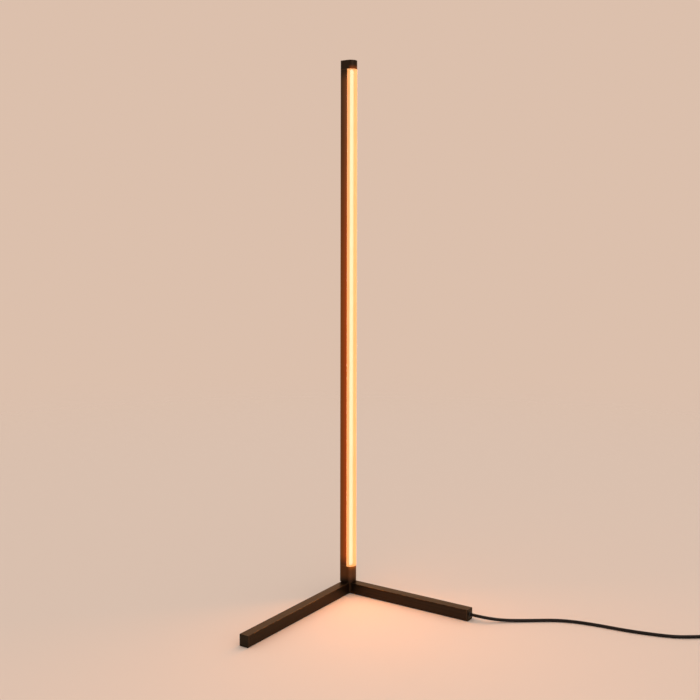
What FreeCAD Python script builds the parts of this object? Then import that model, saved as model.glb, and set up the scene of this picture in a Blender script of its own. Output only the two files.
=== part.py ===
"""Corner floor lamp: a slim lit post on two legs that lie along the walls.

Millimetres, +Z up.  The origin is on the floor under the middle of the corner
block.  The right leg runs along +X, the left leg along -Y, and the diffuser
of the post faces +X.
"""
import FreeCAD, Part
import math
import os
from FreeCAD import Vector, Rotation, Placement

os.makedirs("parts", exist_ok=True)

# ---------------------------------------------------------------- driving sizes
total_height = 1000.0        # floor to the top of the cap
slip = 0.1                   # clearance each side where one fixed piece slides in another
edge_round = 0.8             # outer edges of legs, block and end caps

# legs
leg_width = 18.0
leg_height = 20.0            # tube height, without the pads
leg_wall = 1.5
left_reach = 300.5           # inner corner to the end of the left leg
right_reach = 248.0          # inner corner to the end of the right leg
pad_thickness = 0.5
pad_radius = 6.0
pad_from_end = 14.0          # centre of an end pad to the leg's end face

# corner block
seam_from_corner = 4.0       # inner corner to the end of each leg tube
inner_fillet = 3.0
outer_corner_radius = 2.0
spigot_length = 18.0
wire_bore_radius = 4.0       # along the right leg's spigot
pad_margin = 1.0             # edge of the block to the edge of its pad

# post
post_width = 24.0            # across, also twice the radius of the diffuser's front
post_flat = 15.1             # depth of the flat sides
post_forward = 3.3           # centre of the round front, ahead of the origin
post_back_round = 1.5
foot_height = 31.0
cap_height = 16.5
cap_round = 1.0              # upper rim of the cap
channel_wall = 1.5
duct_depth = 6.2             # wire duct behind the web
web_thickness = 1.2
deck_width = 12.4            # raised deck that carries the strip
deck_rise = 6.9              # deck's face ahead of the web
port_wall = 1.0              # round a screw port
port_offset = 7.5            # screw ports, each side of the middle
tongue_length = 12.0         # cap and foot reach this far into the channel
tongue_wall = 1.3

# diffuser and its snap fit
diffuser_wall = 1.6
bead_depth = 0.6
bead_length = 1.0
bead_setback = 0.4
snap_gap = 0.05
snap_leg = 1.1
snap_hook = 0.5
hook_length = 1.2
bridge_depth = 1.2           # joins each snap leg to the cover's wall
end_gap = 0.1                # diffuser's ends to cap and foot

# light
strip_width = 10.0
strip_thickness = 0.3
bead_width = 8.0
bead_height = 4.3
bead_shoulder = 2.0          # height of its straight sides
bead_inset = 6.0             # glowing bead's ends, short of the strip's ends
strip_inset = 1.0

# screws: shank radius, head radius, head height
post_screw = (1.25, 2.7, 2.2)
foot_screw = (1.95, 3.3, 2.4)
leg_screw = (1.25, 2.6, 1.4)
post_screw_bite = 8.0        # length in the channel's ports
post_screw_land = 12.0       # foot material over the screw's head
foot_screw_bite = 11.0       # length in the foot
foot_screw_land = 15.5       # block material over the screw's head
leg_screw_bite = 3.4         # length in the spigot
screw_play = 0.2             # radial clearance of a through hole
head_play = 0.3              # radial clearance round a sunk head
thread_play = 0.05           # radial clearance of a threaded hole
thread_end = 0.5             # a blind hole goes on this far past its screw
foot_screw_margin = 0.8      # block's back edge to the head of the rear foot screw
foot_screw_inset = 2.0       # block's front edge to the head of the side foot screw
foot_screw_aside = 1.6       # rear foot screw, beside the middle
foot_screw_wall = 1.1        # side foot screw to the wire bore

# end caps, bush and cord anchor
cap_plate = 2.0
cap_rim_round = 0.5          # round the outer face of an end cap
cap_plug_length = 12.0
cap_plug_wall = 1.4
crush_rib = 0.08
rib_width = 1.0
rib_start = 1.5              # a crush rib starts this far up the plug
brace_width = 1.2            # web inside the plug of the closed cap
bush_body_radius = 3.95
bush_flange_radius = 5.0
bush_flange = 1.2
bush_boss_depth = 5.0
bush_boss_wall = 2.0
bush_ring = 0.7              # snap ring, proud of the bore
bush_ring_length = 2.3
bush_edge = 0.5              # chamfer of the flange, along the cord
tie_band = 1.0
tie_width = 3.6
tie_head = 5.2               # across the head of the cable tie
tie_head_height = 2.6
tie_gap = 0.3                # cable tie behind the bush
cord_fit = 0.05              # clearance of what grips the cord

# leads and cord
cord_diameter = 5.5
lead_diameter = 3.4
lead_elbow = 6.0
connector_length = 12.0
connector_width = 8.6
connector_height = 6.6
nose_length = 5.0            # plug's nose inside the socket
nose_side = 1.6              # shell of the socket, left and right of the nose
nose_roof = 1.4              # shell of the socket, above and below it
latch_length = 9.0
latch_width = 2.8
latch_height = 0.9
grip_groove = 0.4            # depth of the grooves to hold the plug by
lead_fit = 0.05
lead_rise = 5.0              # post lead's end above the foot
lead_slack = 8.0             # left spigot-side connector to the spigot
stub_inside = 34.0           # cord inside the leg, behind the end face

# inline controller
controller_length = 66.0
controller_width = 24.0
controller_height = 12.0
controller_wall = 1.5
controller_corner = 6.0
controller_lip = 0.7         # thickness of the lip that centres the top shell
controller_lip_rise = 0.9
controller_lip_root = 1.5    # the lip starts this far under the seam
lip_play = 0.05
controller_low_round = 1.2
controller_top_round = 1.6
button_radius = 4.2
button_pitch = 16.0
button_proud = 0.9
button_play = 0.12
button_travel = 0.8
button_round = 0.5
button_lip = 0.5             # flat ring round the finger recess
button_dish = 0.3            # depth of the recess
button_stem = 1.3
stem_gap = 0.1               # stem to switch with the button pressed home
button_flange = 1.0
button_flange_thickness = 0.8
flange_gap = 0.3
board_thickness = 1.0
board_margin = 2.2
board_height = 4.5
switch_height = 0.8
switch_width = 5.2
switch_dome = (1.9, 1.2)     # radii at its foot and its top
board_corner = 2.0
chip = (5.0, 3.0, 1.2)       # length, width, height
shell_screw = (0.8, 2.0, 1.2)
shell_screw_land = 1.4       # the head's flat side, above the floor
shell_screw_gap = 2.4        # head to the end wall
shell_blind = 0.6            # end of a screw hole, short of the roof
shell_tip_gap = 0.2          # end of a screw, short of the end of its hole
base_boss = 2.8
top_boss = 2.2
boot_length = 10.0
boot_tip_radius = 3.5
boot_root_radius = 4.4
groove_width = 0.9           # flexing grooves round a boot
groove_floor = 3.2           # radius left inside a groove
controller_place = (691.0, 61.0)

# coil of the put-away cord
coil_centre = (728.5, -35.0)
coil_outer = 37.5            # centre line of the outermost turn
coil_turns = 2.5             # in each of the two layers
coil_pitch = 6.1
coil_layer = 6.0
strap_thickness = 0.8
strap_width = 8.0
strap_gap = 0.2
strap_lift = 0.1             # strap's underside and the coil's, clear of the floor and the strap
strap_round = 2.0
strap_tail = (0.6, 2.0, 1.0)     # the closed end, in from the strap's sides and its two turns

# wall adapter
adapter_length = 58.0
adapter_width = 34.0
adapter_height = 26.0
adapter_corner = 5.0
adapter_face = 2.0
pin_radius = 2.0
pin_length = 19.0
pin_spacing = 18.6
pin_tip = 10.0               # bare metal at the end of each pin
sleeve_radius = 1.76         # insulated stretch of a pin
pin_margin = 5.0             # pin's middle to the edge of the raised base of both pins
pin_base = 1.2               # height of that base
face_step = 2.0              # face plate, in from the body's sides
adapter_end_round = 2.5
adapter_seam = 50.8          # seam of the housing, from the cord end
seam_width = 0.8
seam_depth = 0.4
adapter_boot = 18.0
adapter_boot_radius = 5.2
adapter_place = (758.0, 40.0)    # middle of the body's cord end

# ---------------------------------------------------------------- worked out
half_leg = leg_width / 2
leg_top = pad_thickness + leg_height
leg_mid = pad_thickness + leg_height / 2
half_post = post_width / 2
post_back = post_forward - post_flat
foot_top = leg_top + foot_height
channel_top = total_height - cap_height
duct_back = post_back + channel_wall
web_back = duct_back + duct_depth
web_front = web_back + web_thickness
deck_front = web_front + deck_rise
port_x = (duct_back + web_back) / 2
port_radius = post_screw[0] + thread_play
strip_front = deck_front + strip_thickness
wire_x = strip_front + lead_fit + lead_diameter / 2
seam = half_leg + seam_from_corner
right_end = half_leg + right_reach
left_end = half_leg + left_reach
cord_radius = cord_diameter / 2
boot_mouth = controller_length / 2 + boot_length
cord_mouth = right_end + bush_flange
bush_back = right_end - cap_plate - bush_boss_depth - slip - bush_ring_length
riser_radius = wire_bore_radius * 0.85       # upright part of the wire bore
RIGHT = Placement(Vector(0, 0, 0), Rotation(Vector(0, 0, 1), 0))
LEFT = Placement(Vector(0, 0, 0), Rotation(Vector(0, 0, 1), -90))

made = {}


# ---------------------------------------------------------------- small helpers
def save(name, *solids):
    """Writes one node: a single solid, or a group of separate ones."""
    shape = solids[0] if len(solids) == 1 else Part.makeCompound(list(solids))
    for solid in shape.Solids:
        if not solid.isValid():
            print("NOT VALID", name)
    shape.exportStep("parts/%s.step" % name)
    made[name] = shape
    print("%-20s solids %2d  volume %9.1f" % (name, len(shape.Solids), shape.Volume))


def block(low, high):
    size = [h - l for l, h in zip(low, high)]
    return Part.makeBox(size[0], size[1], size[2], Vector(*low))


def rod(radius, start, end):
    axis = Vector(*end) - Vector(*start)
    return Part.makeCylinder(radius, axis.Length, Vector(*start), axis)


def prism(points, low, high):
    """Upright prism over a list of (x, y) corners."""
    corners = [Vector(x, y, low) for x, y in points]
    face = Part.Face(Part.makePolygon(corners + corners[:1]))
    return face.extrude(Vector(0, 0, high - low))


def runs_along(edge, axis):
    if not isinstance(edge.Curve, Part.Line):
        return False
    return abs(abs(edge.Curve.Direction.dot(axis)) - 1) < 1e-6


def screw(spec, length, place, direction):
    """Pan head with a cross recess, and a plain shank that leaves the head's flat side."""
    shank, head, height = spec
    axis = Vector(*direction)
    solid = Part.makeCylinder(shank, length, Vector(0, 0, 0), Vector(0, 0, 1))
    cap = Part.makeCylinder(head, height, Vector(0, 0, -height), Vector(0, 0, 1))
    rim = [e for e in cap.Edges if abs(e.CenterOfMass.z + height) < 1e-6 and e.Length > 1]
    solid = solid.fuse(cap.makeChamfer(height * 0.3, rim[:1]))
    long, thin = head * 1.1, head * 0.25
    for a, b in ((long, thin), (thin, long)):
        solid = solid.cut(block((-a / 2, -b / 2, -height - 1), (a / 2, b / 2, -height * 0.45)))
    solid.Placement = Placement(Vector(*place), Rotation(Vector(0, 0, 1), axis))
    return solid.removeSplitter()


# ---------------------------------------------------------------- cord tubes
def tube(name, points, diameter):
    """Round tube along straight runs that are joined by tangent arcs as large as the runs allow."""
    points = [Vector(*p) for p in points]
    runs = [(b - a).Length for a, b in zip(points, points[1:])]
    edges, here, radii = [], points[0], []
    for i in range(1, len(points) - 1):
        back = (points[i - 1] - points[i]).normalize()
        ahead = (points[i + 1] - points[i]).normalize()
        turn = math.pi - back.getAngle(ahead)
        reach = 0.45 * min(runs[i - 1], runs[i])
        radius = reach / math.tan(turn / 2)
        radii.append(radius)
        start, end = points[i] + back * reach, points[i] + ahead * reach
        inward = (back + ahead).normalize()
        middle = points[i] + inward * (radius / math.cos(turn / 2) - radius)
        if (start - here).Length > 1e-6:
            edges.append(Part.LineSegment(here, start).toShape())
        edges.append(Part.Arc(start, middle, end).toShape())
        here = end
    edges.append(Part.LineSegment(here, points[-1]).toShape())
    path = Part.Wire(edges)
    solid = sweep(path, points[0], points[1] - points[0], diameter)
    exact = math.pi * diameter ** 2 / 4 * path.Length
    print("%s: length %.1f, radii %s, volume over section times length %.5f"
          % (name, path.Length, " ".join("%.0f" % r for r in radii), solid.Volume / exact))
    return solid


def sweep(path, start, direction, diameter):
    """Pipe shell of a circle along a wire."""
    ring = Part.Wire(Part.makeCircle(diameter / 2, start, direction))
    return path.makePipeShell([ring], True, False)


def arc_from(start, tangent, end):
    """Arc between two points that leaves the first along a tangent."""
    chord = end - start
    along = chord * (1 / chord.Length)
    side = tangent - along * tangent.dot(along)
    if side.Length < 1e-7:
        return Part.LineSegment(start, end).toShape()
    side.normalize()
    rise = chord.Length / 2 * math.tan(tangent.getAngle(chord) / 2)
    return Part.Arc(start, start + chord * 0.5 + side * rise, end).toShape()


def biarc(start, leaving, end, arriving):
    """Two arcs that meet smoothly and join two points with given tangents."""
    span = end - start
    both = leaving + arriving
    k = 2 * (1 - leaving.dot(arriving))
    if k < 1e-9:
        reach = span.dot(span) / (2 * span.dot(both))
    else:
        reach = (-span.dot(both) + math.sqrt(span.dot(both) ** 2 + k * span.dot(span))) / k
    middle = (start + end + (leaving - arriving) * reach) * 0.5
    second = arc_from(end, arriving * -1, middle)
    return [arc_from(start, leaving, middle), reverse_arc(second, middle, end)]


def reverse_arc(edge, start, end):
    """The same arc, run the other way."""
    middle = edge.valueAt((edge.FirstParameter + edge.LastParameter) / 2)
    if isinstance(edge.Curve, Part.Line):
        return Part.LineSegment(start, end).toShape()
    return Part.Arc(start, middle, end).toShape()


# ---------------------------------------------------------------- legs and base
def leg_bar(start, end, inset=0.0, rounding=None):
    """Square bar along X at a leg's section, smaller by inset all round."""
    half = half_leg - inset
    bar = block((start, -half, pad_thickness + inset), (end, half, leg_top - inset))
    size = edge_round if rounding is None else rounding
    if size <= 0:
        return bar
    return bar.makeFillet(size, [e for e in bar.Edges if runs_along(e, Vector(1, 0, 0))])


def leg_screw_hole(distance):
    """Countersunk hole through the tube's lower wall."""
    return Part.makeCone(leg_screw[1] + 0.1, leg_screw[0] + screw_play, leg_wall,
                         Vector(distance, 0, pad_thickness), Vector(0, 0, 1))


def make_leg(name, end, place):
    tube_end = end - cap_plate
    solid = leg_bar(seam, tube_end).cut(leg_bar(seam - 1, tube_end + 1, leg_wall, 0))
    solid = solid.cut(leg_screw_hole(seam + spigot_length / 2))
    solid.Placement = place
    save(name, solid)


def make_leg_screws():
    """Short countersunk screws, up through each tube into its spigot."""
    screws = []
    for place in (RIGHT, LEFT):
        x = seam + spigot_length / 2
        head = Part.makeCone(leg_screw[1], leg_screw[0], leg_screw[2],
                             Vector(x, 0, pad_thickness), Vector(0, 0, 1))
        tip = pad_thickness + leg_wall + slip + leg_screw_bite
        solid = head.fuse(rod(leg_screw[0], (x, 0, pad_thickness), (x, 0, tip)))
        long, thin, depth = leg_screw[0] * 2, leg_screw[0] * 0.5, leg_screw[2] * 0.6
        for a, b in ((long, thin), (thin, long)):
            solid = solid.cut(block((x - a / 2, -b / 2, pad_thickness - 1),
                                    (x + a / 2, b / 2, pad_thickness + depth)))
        solid.Placement = place
        screws.append(solid)
    save("leg_screws", *screws)


def foot_screw_places():
    """One screw behind the wire bore, one beside it."""
    rear = (-half_leg + foot_screw[1] + foot_screw_margin, foot_screw_aside)
    side = (half_leg - foot_screw[1] - foot_screw_inset,
            -(wire_bore_radius + foot_screw[0] + foot_screw_wall))
    return rear, side


def l_block(margin, low, high):
    """Corner piece's plan as two crossing bars: the corner square and a nib along each leg."""
    side, nib = half_leg - margin, seam - margin
    along_right = block((-side, -side, low), (nib, side, high))
    along_left = block((-side, -nib, low), (side, side, high))
    return along_right.fuse(along_left).removeSplitter()


def upright_edge(solid, x, y):
    """The vertical edges of a solid at one place of its plan."""
    return [e for e in solid.Edges if runs_along(e, Vector(0, 0, 1))
            and abs(e.CenterOfMass.x - x) < 1e-3 and abs(e.CenterOfMass.y - y) < 1e-3]


def make_corner_block():
    """Cast corner: rounded L with a hollow spigot for each leg."""
    solid = l_block(0.0, pad_thickness, leg_top)
    solid = solid.makeFillet(inner_fillet, upright_edge(solid, half_leg, -half_leg))
    solid = solid.makeFillet(outer_corner_radius, upright_edge(solid, -half_leg, half_leg))
    # the long edges are rounded like those of the tubes that go on from them
    rims = [e for e in solid.Edges if min(abs(e.CenterOfMass.z - leg_top),
                                          abs(e.CenterOfMass.z - pad_thickness)) < 1e-6
            and max(e.CenterOfMass.x, -e.CenterOfMass.y) < seam - 1e-3]
    solid = solid.makeFillet(edge_round, rims)
    inset = leg_wall + slip
    for place in (RIGHT, LEFT):
        spigot = leg_bar(seam - 1, seam + spigot_length, inset, edge_round)
        x = seam + spigot_length / 2
        spigot = spigot.cut(rod(leg_screw[0] + thread_play, (x, 0, pad_thickness),
                                (x, 0, pad_thickness + inset + leg_screw_bite + slip)))
        spigot.Placement = place
        solid = solid.fuse(spigot)
    solid = solid.cut(rod(wire_bore_radius, (wire_x, 0, leg_mid), (seam + spigot_length + 1, 0, leg_mid)))
    solid = solid.cut(rod(riser_radius, (wire_x, 0, leg_mid - wire_bore_radius * 0.6),
                          (wire_x, 0, leg_top + 1)))
    for x, y in foot_screw_places():
        land = leg_top - foot_screw_land
        solid = solid.cut(rod(foot_screw[1] + head_play, (x, y, pad_thickness - 1), (x, y, land)))
        solid = solid.cut(rod(foot_screw[0] + screw_play, (x, y, 0), (x, y, leg_top + 1)))
    save("corner_block", solid.removeSplitter())


def make_foot_screws():
    screws = [screw(foot_screw, foot_screw_land + foot_screw_bite,
                    (x, y, leg_top - foot_screw_land), (0, 0, 1))
              for x, y in foot_screw_places()]
    save("foot_screws", *screws)


def make_pads():
    pad = l_block(pad_margin, 0, pad_thickness)
    for x, y in foot_screw_places():
        pad = pad.cut(rod(foot_screw[1] + head_play, (x, y, -1), (x, y, pad_thickness + 1)))
    save("corner_pad", pad)
    for name, end, place in (("right_pad", right_end, RIGHT), ("left_pad", left_end, LEFT)):
        x = end - pad_from_end
        disc = rod(pad_radius, (x, 0, 0), (x, 0, pad_thickness))
        disc.Placement = place
        save(name, disc)


def make_end_cap(name, end, place, bored):
    """Plate flush with the tube and a hollow plug with crush ribs inside it."""
    plate = leg_bar(end - cap_plate, end)
    plate = plate.makeFillet(cap_rim_round, [e for e in plate.Edges if abs(e.CenterOfMass.x - end) < 1e-6])
    start = end - cap_plate - cap_plug_length
    inset = leg_wall + slip + crush_rib
    plug = leg_bar(start, end - cap_plate, inset, 0)
    plug = plug.cut(leg_bar(start - 1, end - cap_plate, inset + cap_plug_wall, 0))
    solid = plate.fuse(plug)
    for y in (-half_leg / 3, half_leg / 3):
        for low, high in ((pad_thickness + inset - crush_rib, pad_thickness + inset + crush_rib),
                          (leg_top - inset - crush_rib, leg_top - inset + crush_rib)):
            solid = solid.fuse(block((start + rib_start, y - rib_width / 2, low),
                                     (end - cap_plate, y + rib_width / 2, high)))
    if bored:
        boss_start = end - cap_plate - bush_boss_depth
        solid = solid.fuse(rod(bush_body_radius + bush_boss_wall, (boss_start, 0, leg_mid),
                               (end - cap_plate, 0, leg_mid)))
        solid = solid.cut(rod(bush_body_radius + thread_play, (start - 1, 0, leg_mid),
                              (end + 1, 0, leg_mid)))
    else:
        solid = solid.fuse(block((start, -brace_width / 2, pad_thickness + inset),
                                 (end - cap_plate, brace_width / 2, leg_top - inset)))
    solid.Placement = place
    save(name, solid.removeSplitter())


def make_bush():
    """Rubber bush: flange outside, body in the bore, snap ring behind the boss."""
    back = right_end - cap_plate - bush_boss_depth - slip
    profile = [(bush_back, bush_body_radius), (back, bush_body_radius + bush_ring),
               (back, bush_body_radius), (right_end, bush_body_radius),
               (right_end, bush_flange_radius), (cord_mouth - bush_edge, bush_flange_radius),
               (cord_mouth, bush_flange_radius - bush_edge)]
    bore = cord_radius + cord_fit
    corners = [(bush_back, bore)] + profile + [(cord_mouth, bore)]
    face = Part.Face(Part.makePolygon([Vector(x, 0, leg_mid + r) for x, r in corners + corners[:1]]))
    save("cord_bush", face.revolve(Vector(0, 0, leg_mid), Vector(1, 0, 0), 360))


def make_cord_anchor():
    """Cable tie pulled tight on the cord behind the bush."""
    x = bush_back - tie_gap
    ring = rod(cord_radius + cord_fit + tie_band, (x - tie_width, 0, leg_mid), (x, 0, leg_mid))
    low = leg_mid + cord_radius + tie_band / 2
    head = block((x - tie_width, -tie_head / 2, low), (x, tie_head / 2, low + tie_head_height))
    solid = ring.fuse(head)
    solid = solid.cut(rod(cord_radius + cord_fit, (x - tie_width - 2, 0, leg_mid), (x + 1, 0, leg_mid)))
    save("cord_anchor", solid.removeSplitter())


# ---------------------------------------------------------------- post
def d_prism(low, high, inset=0.0, back_round=0.0):
    """The post's D section: flat back and sides, half-round front."""
    half = half_post - inset
    back = post_back + inset
    a, b = Vector(back, -half, low), Vector(post_forward, -half, low)
    c, d = Vector(post_forward, half, low), Vector(back, half, low)
    nose = Part.Arc(b, Vector(post_forward + half, 0, low), c).toShape()
    edges = [Part.LineSegment(a, b).toShape(), nose, Part.LineSegment(c, d).toShape(),
             Part.LineSegment(d, a).toShape()]
    solid = Part.Face(Part.Wire(edges)).extrude(Vector(0, 0, high - low))
    if back_round > 0:
        corners = [e for e in solid.Edges if runs_along(e, Vector(0, 0, 1))
                   and abs(e.CenterOfMass.x - back) < 1e-3]
        solid = solid.makeFillet(back_round, corners)
    return solid


def port(side, radius, low, high):
    return rod(radius, (port_x, side * port_offset, low), (port_x, side * port_offset, high))


def make_channel():
    """Extruded channel: wire duct, raised deck, screw ports and the beads that hold the diffuser."""
    low, high = foot_top, channel_top
    shell = d_prism(low, high, 0.0, post_back_round)
    shell = shell.common(block((post_back - 1, -half_post - 1, low), (post_forward, half_post + 1, high)))
    side = half_post - channel_wall
    deck = deck_width / 2
    shell = shell.cut(block((duct_back, -side, low), (post_forward + 1, side, high)))
    solid = shell.fuse(block((web_back, -side, low), (web_front, side, high)))
    solid = solid.fuse(block((web_back, -deck, low), (deck_front, deck, high)))
    inner = deck - web_thickness
    solid = solid.cut(block((web_back - 1, -inner, low), (deck_front - web_thickness, inner, high)))
    for hand in (-1, 1):
        ring = port(hand, port_radius + port_wall, low, high)
        start = port_offset + port_radius * 0.8
        arm = block((port_x - port_radius * 0.7, min(hand * start, hand * side), low),
                    (port_x + port_radius * 0.7, max(hand * start, hand * side), high))
        solid = solid.fuse(ring.fuse(arm)).cut(port(hand, port_radius, low, high))
        edge = sorted((hand * side, hand * (side - bead_depth)))
        solid = solid.fuse(block((post_forward - bead_setback - bead_length, edge[0], low),
                                 (post_forward - bead_setback, edge[1], high)))
    save("post_channel", solid.removeSplitter())


def make_diffuser():
    """Half-round cover with two snap legs that click behind the channel's beads."""
    low, high = foot_top + end_gap, channel_top - end_gap
    front = block((post_forward + snap_gap, -half_post - 1, low),
                  (post_forward + half_post + 1, half_post + 1, high))
    solid = d_prism(low, high).common(front).cut(d_prism(low, high, diffuser_wall))
    outer = half_post - channel_wall - bead_depth - snap_gap
    hook_back = post_forward - bead_setback - bead_length - snap_gap - hook_length
    for hand in (-1, 1):
        y = sorted((hand * outer, hand * (outer - snap_leg)))
        leg = block((hook_back, y[0], low), (post_forward + bridge_depth, y[1], high))
        y = sorted((hand * (outer - snap_leg), hand * (half_post - diffuser_wall / 2)))
        bridge = block((post_forward + snap_gap, y[0], low), (post_forward + bridge_depth, y[1], high))
        root, tip = hand * (outer - snap_leg / 2), hand * (outer + snap_hook)
        hook_front = hook_back + hook_length
        hook = prism([(hook_back, root), (hook_back, hand * outer), (hook_front, tip),
                      (hook_front, root)], low, high)
        solid = solid.fuse(leg).fuse(bridge).fuse(hook)
    save("diffuser", solid.removeSplitter())


def tongue(low, high, open_end):
    """Hollow tongue that fills the duct between the ports and the deck's hollow."""
    half = deck_width / 2 - web_thickness - slip
    box = block((duct_back + slip, -half, low), (deck_front - web_thickness - slip, half, high))
    span = (low - 1, high) if open_end < 0 else (low, high + 1)
    core = block((duct_back + slip + tongue_wall, -half + tongue_wall, span[0]),
                 (deck_front - web_thickness - slip - tongue_wall, half - tongue_wall, span[1]))
    return box.cut(core)


def make_top_cap():
    solid = d_prism(channel_top, total_height, 0.0, post_back_round)
    rim = [e for e in solid.Edges if abs(e.CenterOfMass.z - total_height) < 1e-6]
    solid = solid.makeFillet(cap_round, rim)
    solid = solid.fuse(tongue(channel_top - tongue_length, channel_top, -1))
    save("top_cap", solid.removeSplitter())


def make_foot():
    """Solid foot between the legs and the channel, bored for screws and the lead."""
    solid = d_prism(leg_top, foot_top, 0.0, post_back_round)
    solid = solid.fuse(tongue(foot_top, foot_top + tongue_length, 1))
    for hand in (-1, 1):
        land = foot_top - post_screw_land
        solid = solid.cut(port(hand, post_screw[1] + head_play, leg_top - 1, land))
        solid = solid.cut(port(hand, post_screw[0] + screw_play, leg_top, foot_top + 1))
    solid = solid.cut(rod(riser_radius, (wire_x, 0, leg_top - 1), (wire_x, 0, foot_top + 1)))
    for x, y in foot_screw_places():
        solid = solid.cut(rod(foot_screw[0] + thread_play, (x, y, leg_top - 1),
                              (x, y, leg_top + foot_screw_bite + thread_end)))
    save("post_foot", solid.removeSplitter())


def make_post_screws():
    land = foot_top - post_screw_land
    save("post_screws", *[screw(post_screw, post_screw_land + post_screw_bite,
                                (port_x, hand * port_offset, land), (0, 0, 1))
                          for hand in (-1, 1)])


def make_light():
    low, high = foot_top + strip_inset, channel_top - strip_inset
    save("led_strip", block((deck_front, -strip_width / 2, low), (strip_front, strip_width / 2, high)))
    half, crown = bead_width / 2, strip_front + bead_height
    low, high = low + bead_inset, high - bead_inset
    shoulder = strip_front + bead_shoulder
    a, b = Vector(strip_front, -half, low), Vector(shoulder, -half, low)
    c, d = Vector(shoulder, half, low), Vector(strip_front, half, low)
    edges = [Part.LineSegment(a, b).toShape(), Part.Arc(b, Vector(crown, 0, low), c).toShape(),
             Part.LineSegment(c, d).toShape(), Part.LineSegment(d, a).toShape()]
    save("light_bead", Part.Face(Part.Wire(edges)).extrude(Vector(0, 0, high - low)))


# ---------------------------------------------------------------- leads inside
def make_leads():
    """Cord end behind the bush, thin lead to the plug, and the lead up the foot to the strip."""
    stub_end = right_end - stub_inside
    save("cord_inner_end", rod(cord_radius, (stub_end, 0, leg_mid), (cord_mouth, 0, leg_mid)))
    middle = seam + spigot_length + lead_slack + connector_length
    low = pad_thickness + leg_wall + lead_diameter / 2 + slip
    points = [(stub_end, 0, leg_mid), (stub_end - 14, 0, leg_mid), (stub_end - 40, 1.5, low),
              (stub_end - 86, -1.5, low),
              (middle + connector_length + 14, 0, leg_mid), (middle + connector_length, 0, leg_mid)]
    save("leg_lead", tube("leg_lead", points, lead_diameter))
    end = foot_top + lead_rise
    elbow = Vector(wire_x + lead_elbow, 0, leg_mid + lead_elbow)
    quarter = lead_elbow * math.sqrt(0.5)
    start = Vector(middle - connector_length, 0, leg_mid)
    bend_start, bend_end = Vector(elbow.x, 0, leg_mid), Vector(wire_x, 0, elbow.z)
    path = Part.Wire([
        Part.LineSegment(start, bend_start).toShape(),
        Part.Arc(bend_start, elbow - Vector(quarter, 0, quarter), bend_end).toShape(),
        Part.LineSegment(bend_end, Vector(wire_x, 0, end)).toShape()])
    save("post_lead", sweep(path, start, Vector(-1, 0, 0), lead_diameter))
    make_connector(middle)


def make_connector(middle):
    """Plug and socket of the lead, so that the post comes off the leg."""
    half, tall = connector_width / 2, connector_height / 2

    def body(start, end):
        return block((start, -half, leg_mid - tall), (end, half, leg_mid + tall))

    side, roof = half - nose_side, tall - nose_roof
    nose = block((middle - nose_length, -side, leg_mid - roof), (middle + 1, side, leg_mid + roof))
    latch_start, wide = middle - nose_length / 2, latch_width / 2
    latch = block((latch_start, -wide, leg_mid + tall),
                  (latch_start + latch_length, wide, leg_mid + tall + latch_height))
    plug = body(middle, middle + connector_length).fuse(nose).fuse(latch)
    grip = connector_length / 6
    for k in range(2, 5):
        x = middle + grip * k
        for y in (-half, half):
            plug = plug.cut(block((x, y - grip_groove, leg_mid - tall - 1),
                                  (x + grip / 2, y + grip_groove, leg_mid + tall + 1)))
    save("lead_plug", plug.removeSplitter())
    socket = body(middle - connector_length, middle)
    socket = socket.cut(block((middle - nose_length - slip, -side - slip, leg_mid - roof - slip),
                              (middle + 1, side + slip, leg_mid + roof + slip)))
    catch = block((middle - nose_length, -wide, leg_mid + tall),
                  (latch_start - slip, wide, leg_mid + tall + latch_height))
    save("lead_socket", socket.fuse(catch).removeSplitter())


# ---------------------------------------------------------------- inline controller
CONTROLLER = Placement(Vector(controller_place[0], controller_place[1], 0),
                       Rotation(Vector(0, 0, 1), -90))
controller_mid = controller_height / 2
shell_screw_x = controller_length / 2 - controller_wall - shell_screw[1] - shell_screw_gap


def rounded_slab(length, width, low, high, corner, edge=None, at_top=True):
    """Plate with rounded corners and, if asked, one rounded rim."""
    box = block((-length / 2, -width / 2, low), (length / 2, width / 2, high))
    box = box.makeFillet(corner, [e for e in box.Edges if runs_along(e, Vector(0, 0, 1))])
    if edge:
        level = high if at_top else low
        rim = [e for e in box.Edges if abs(e.CenterOfMass.z - level) < 1e-6]
        box = box.makeFillet(edge, rim)
    return box


def put(name, solid, place):
    solid.Placement = place
    save(name, solid)


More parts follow.
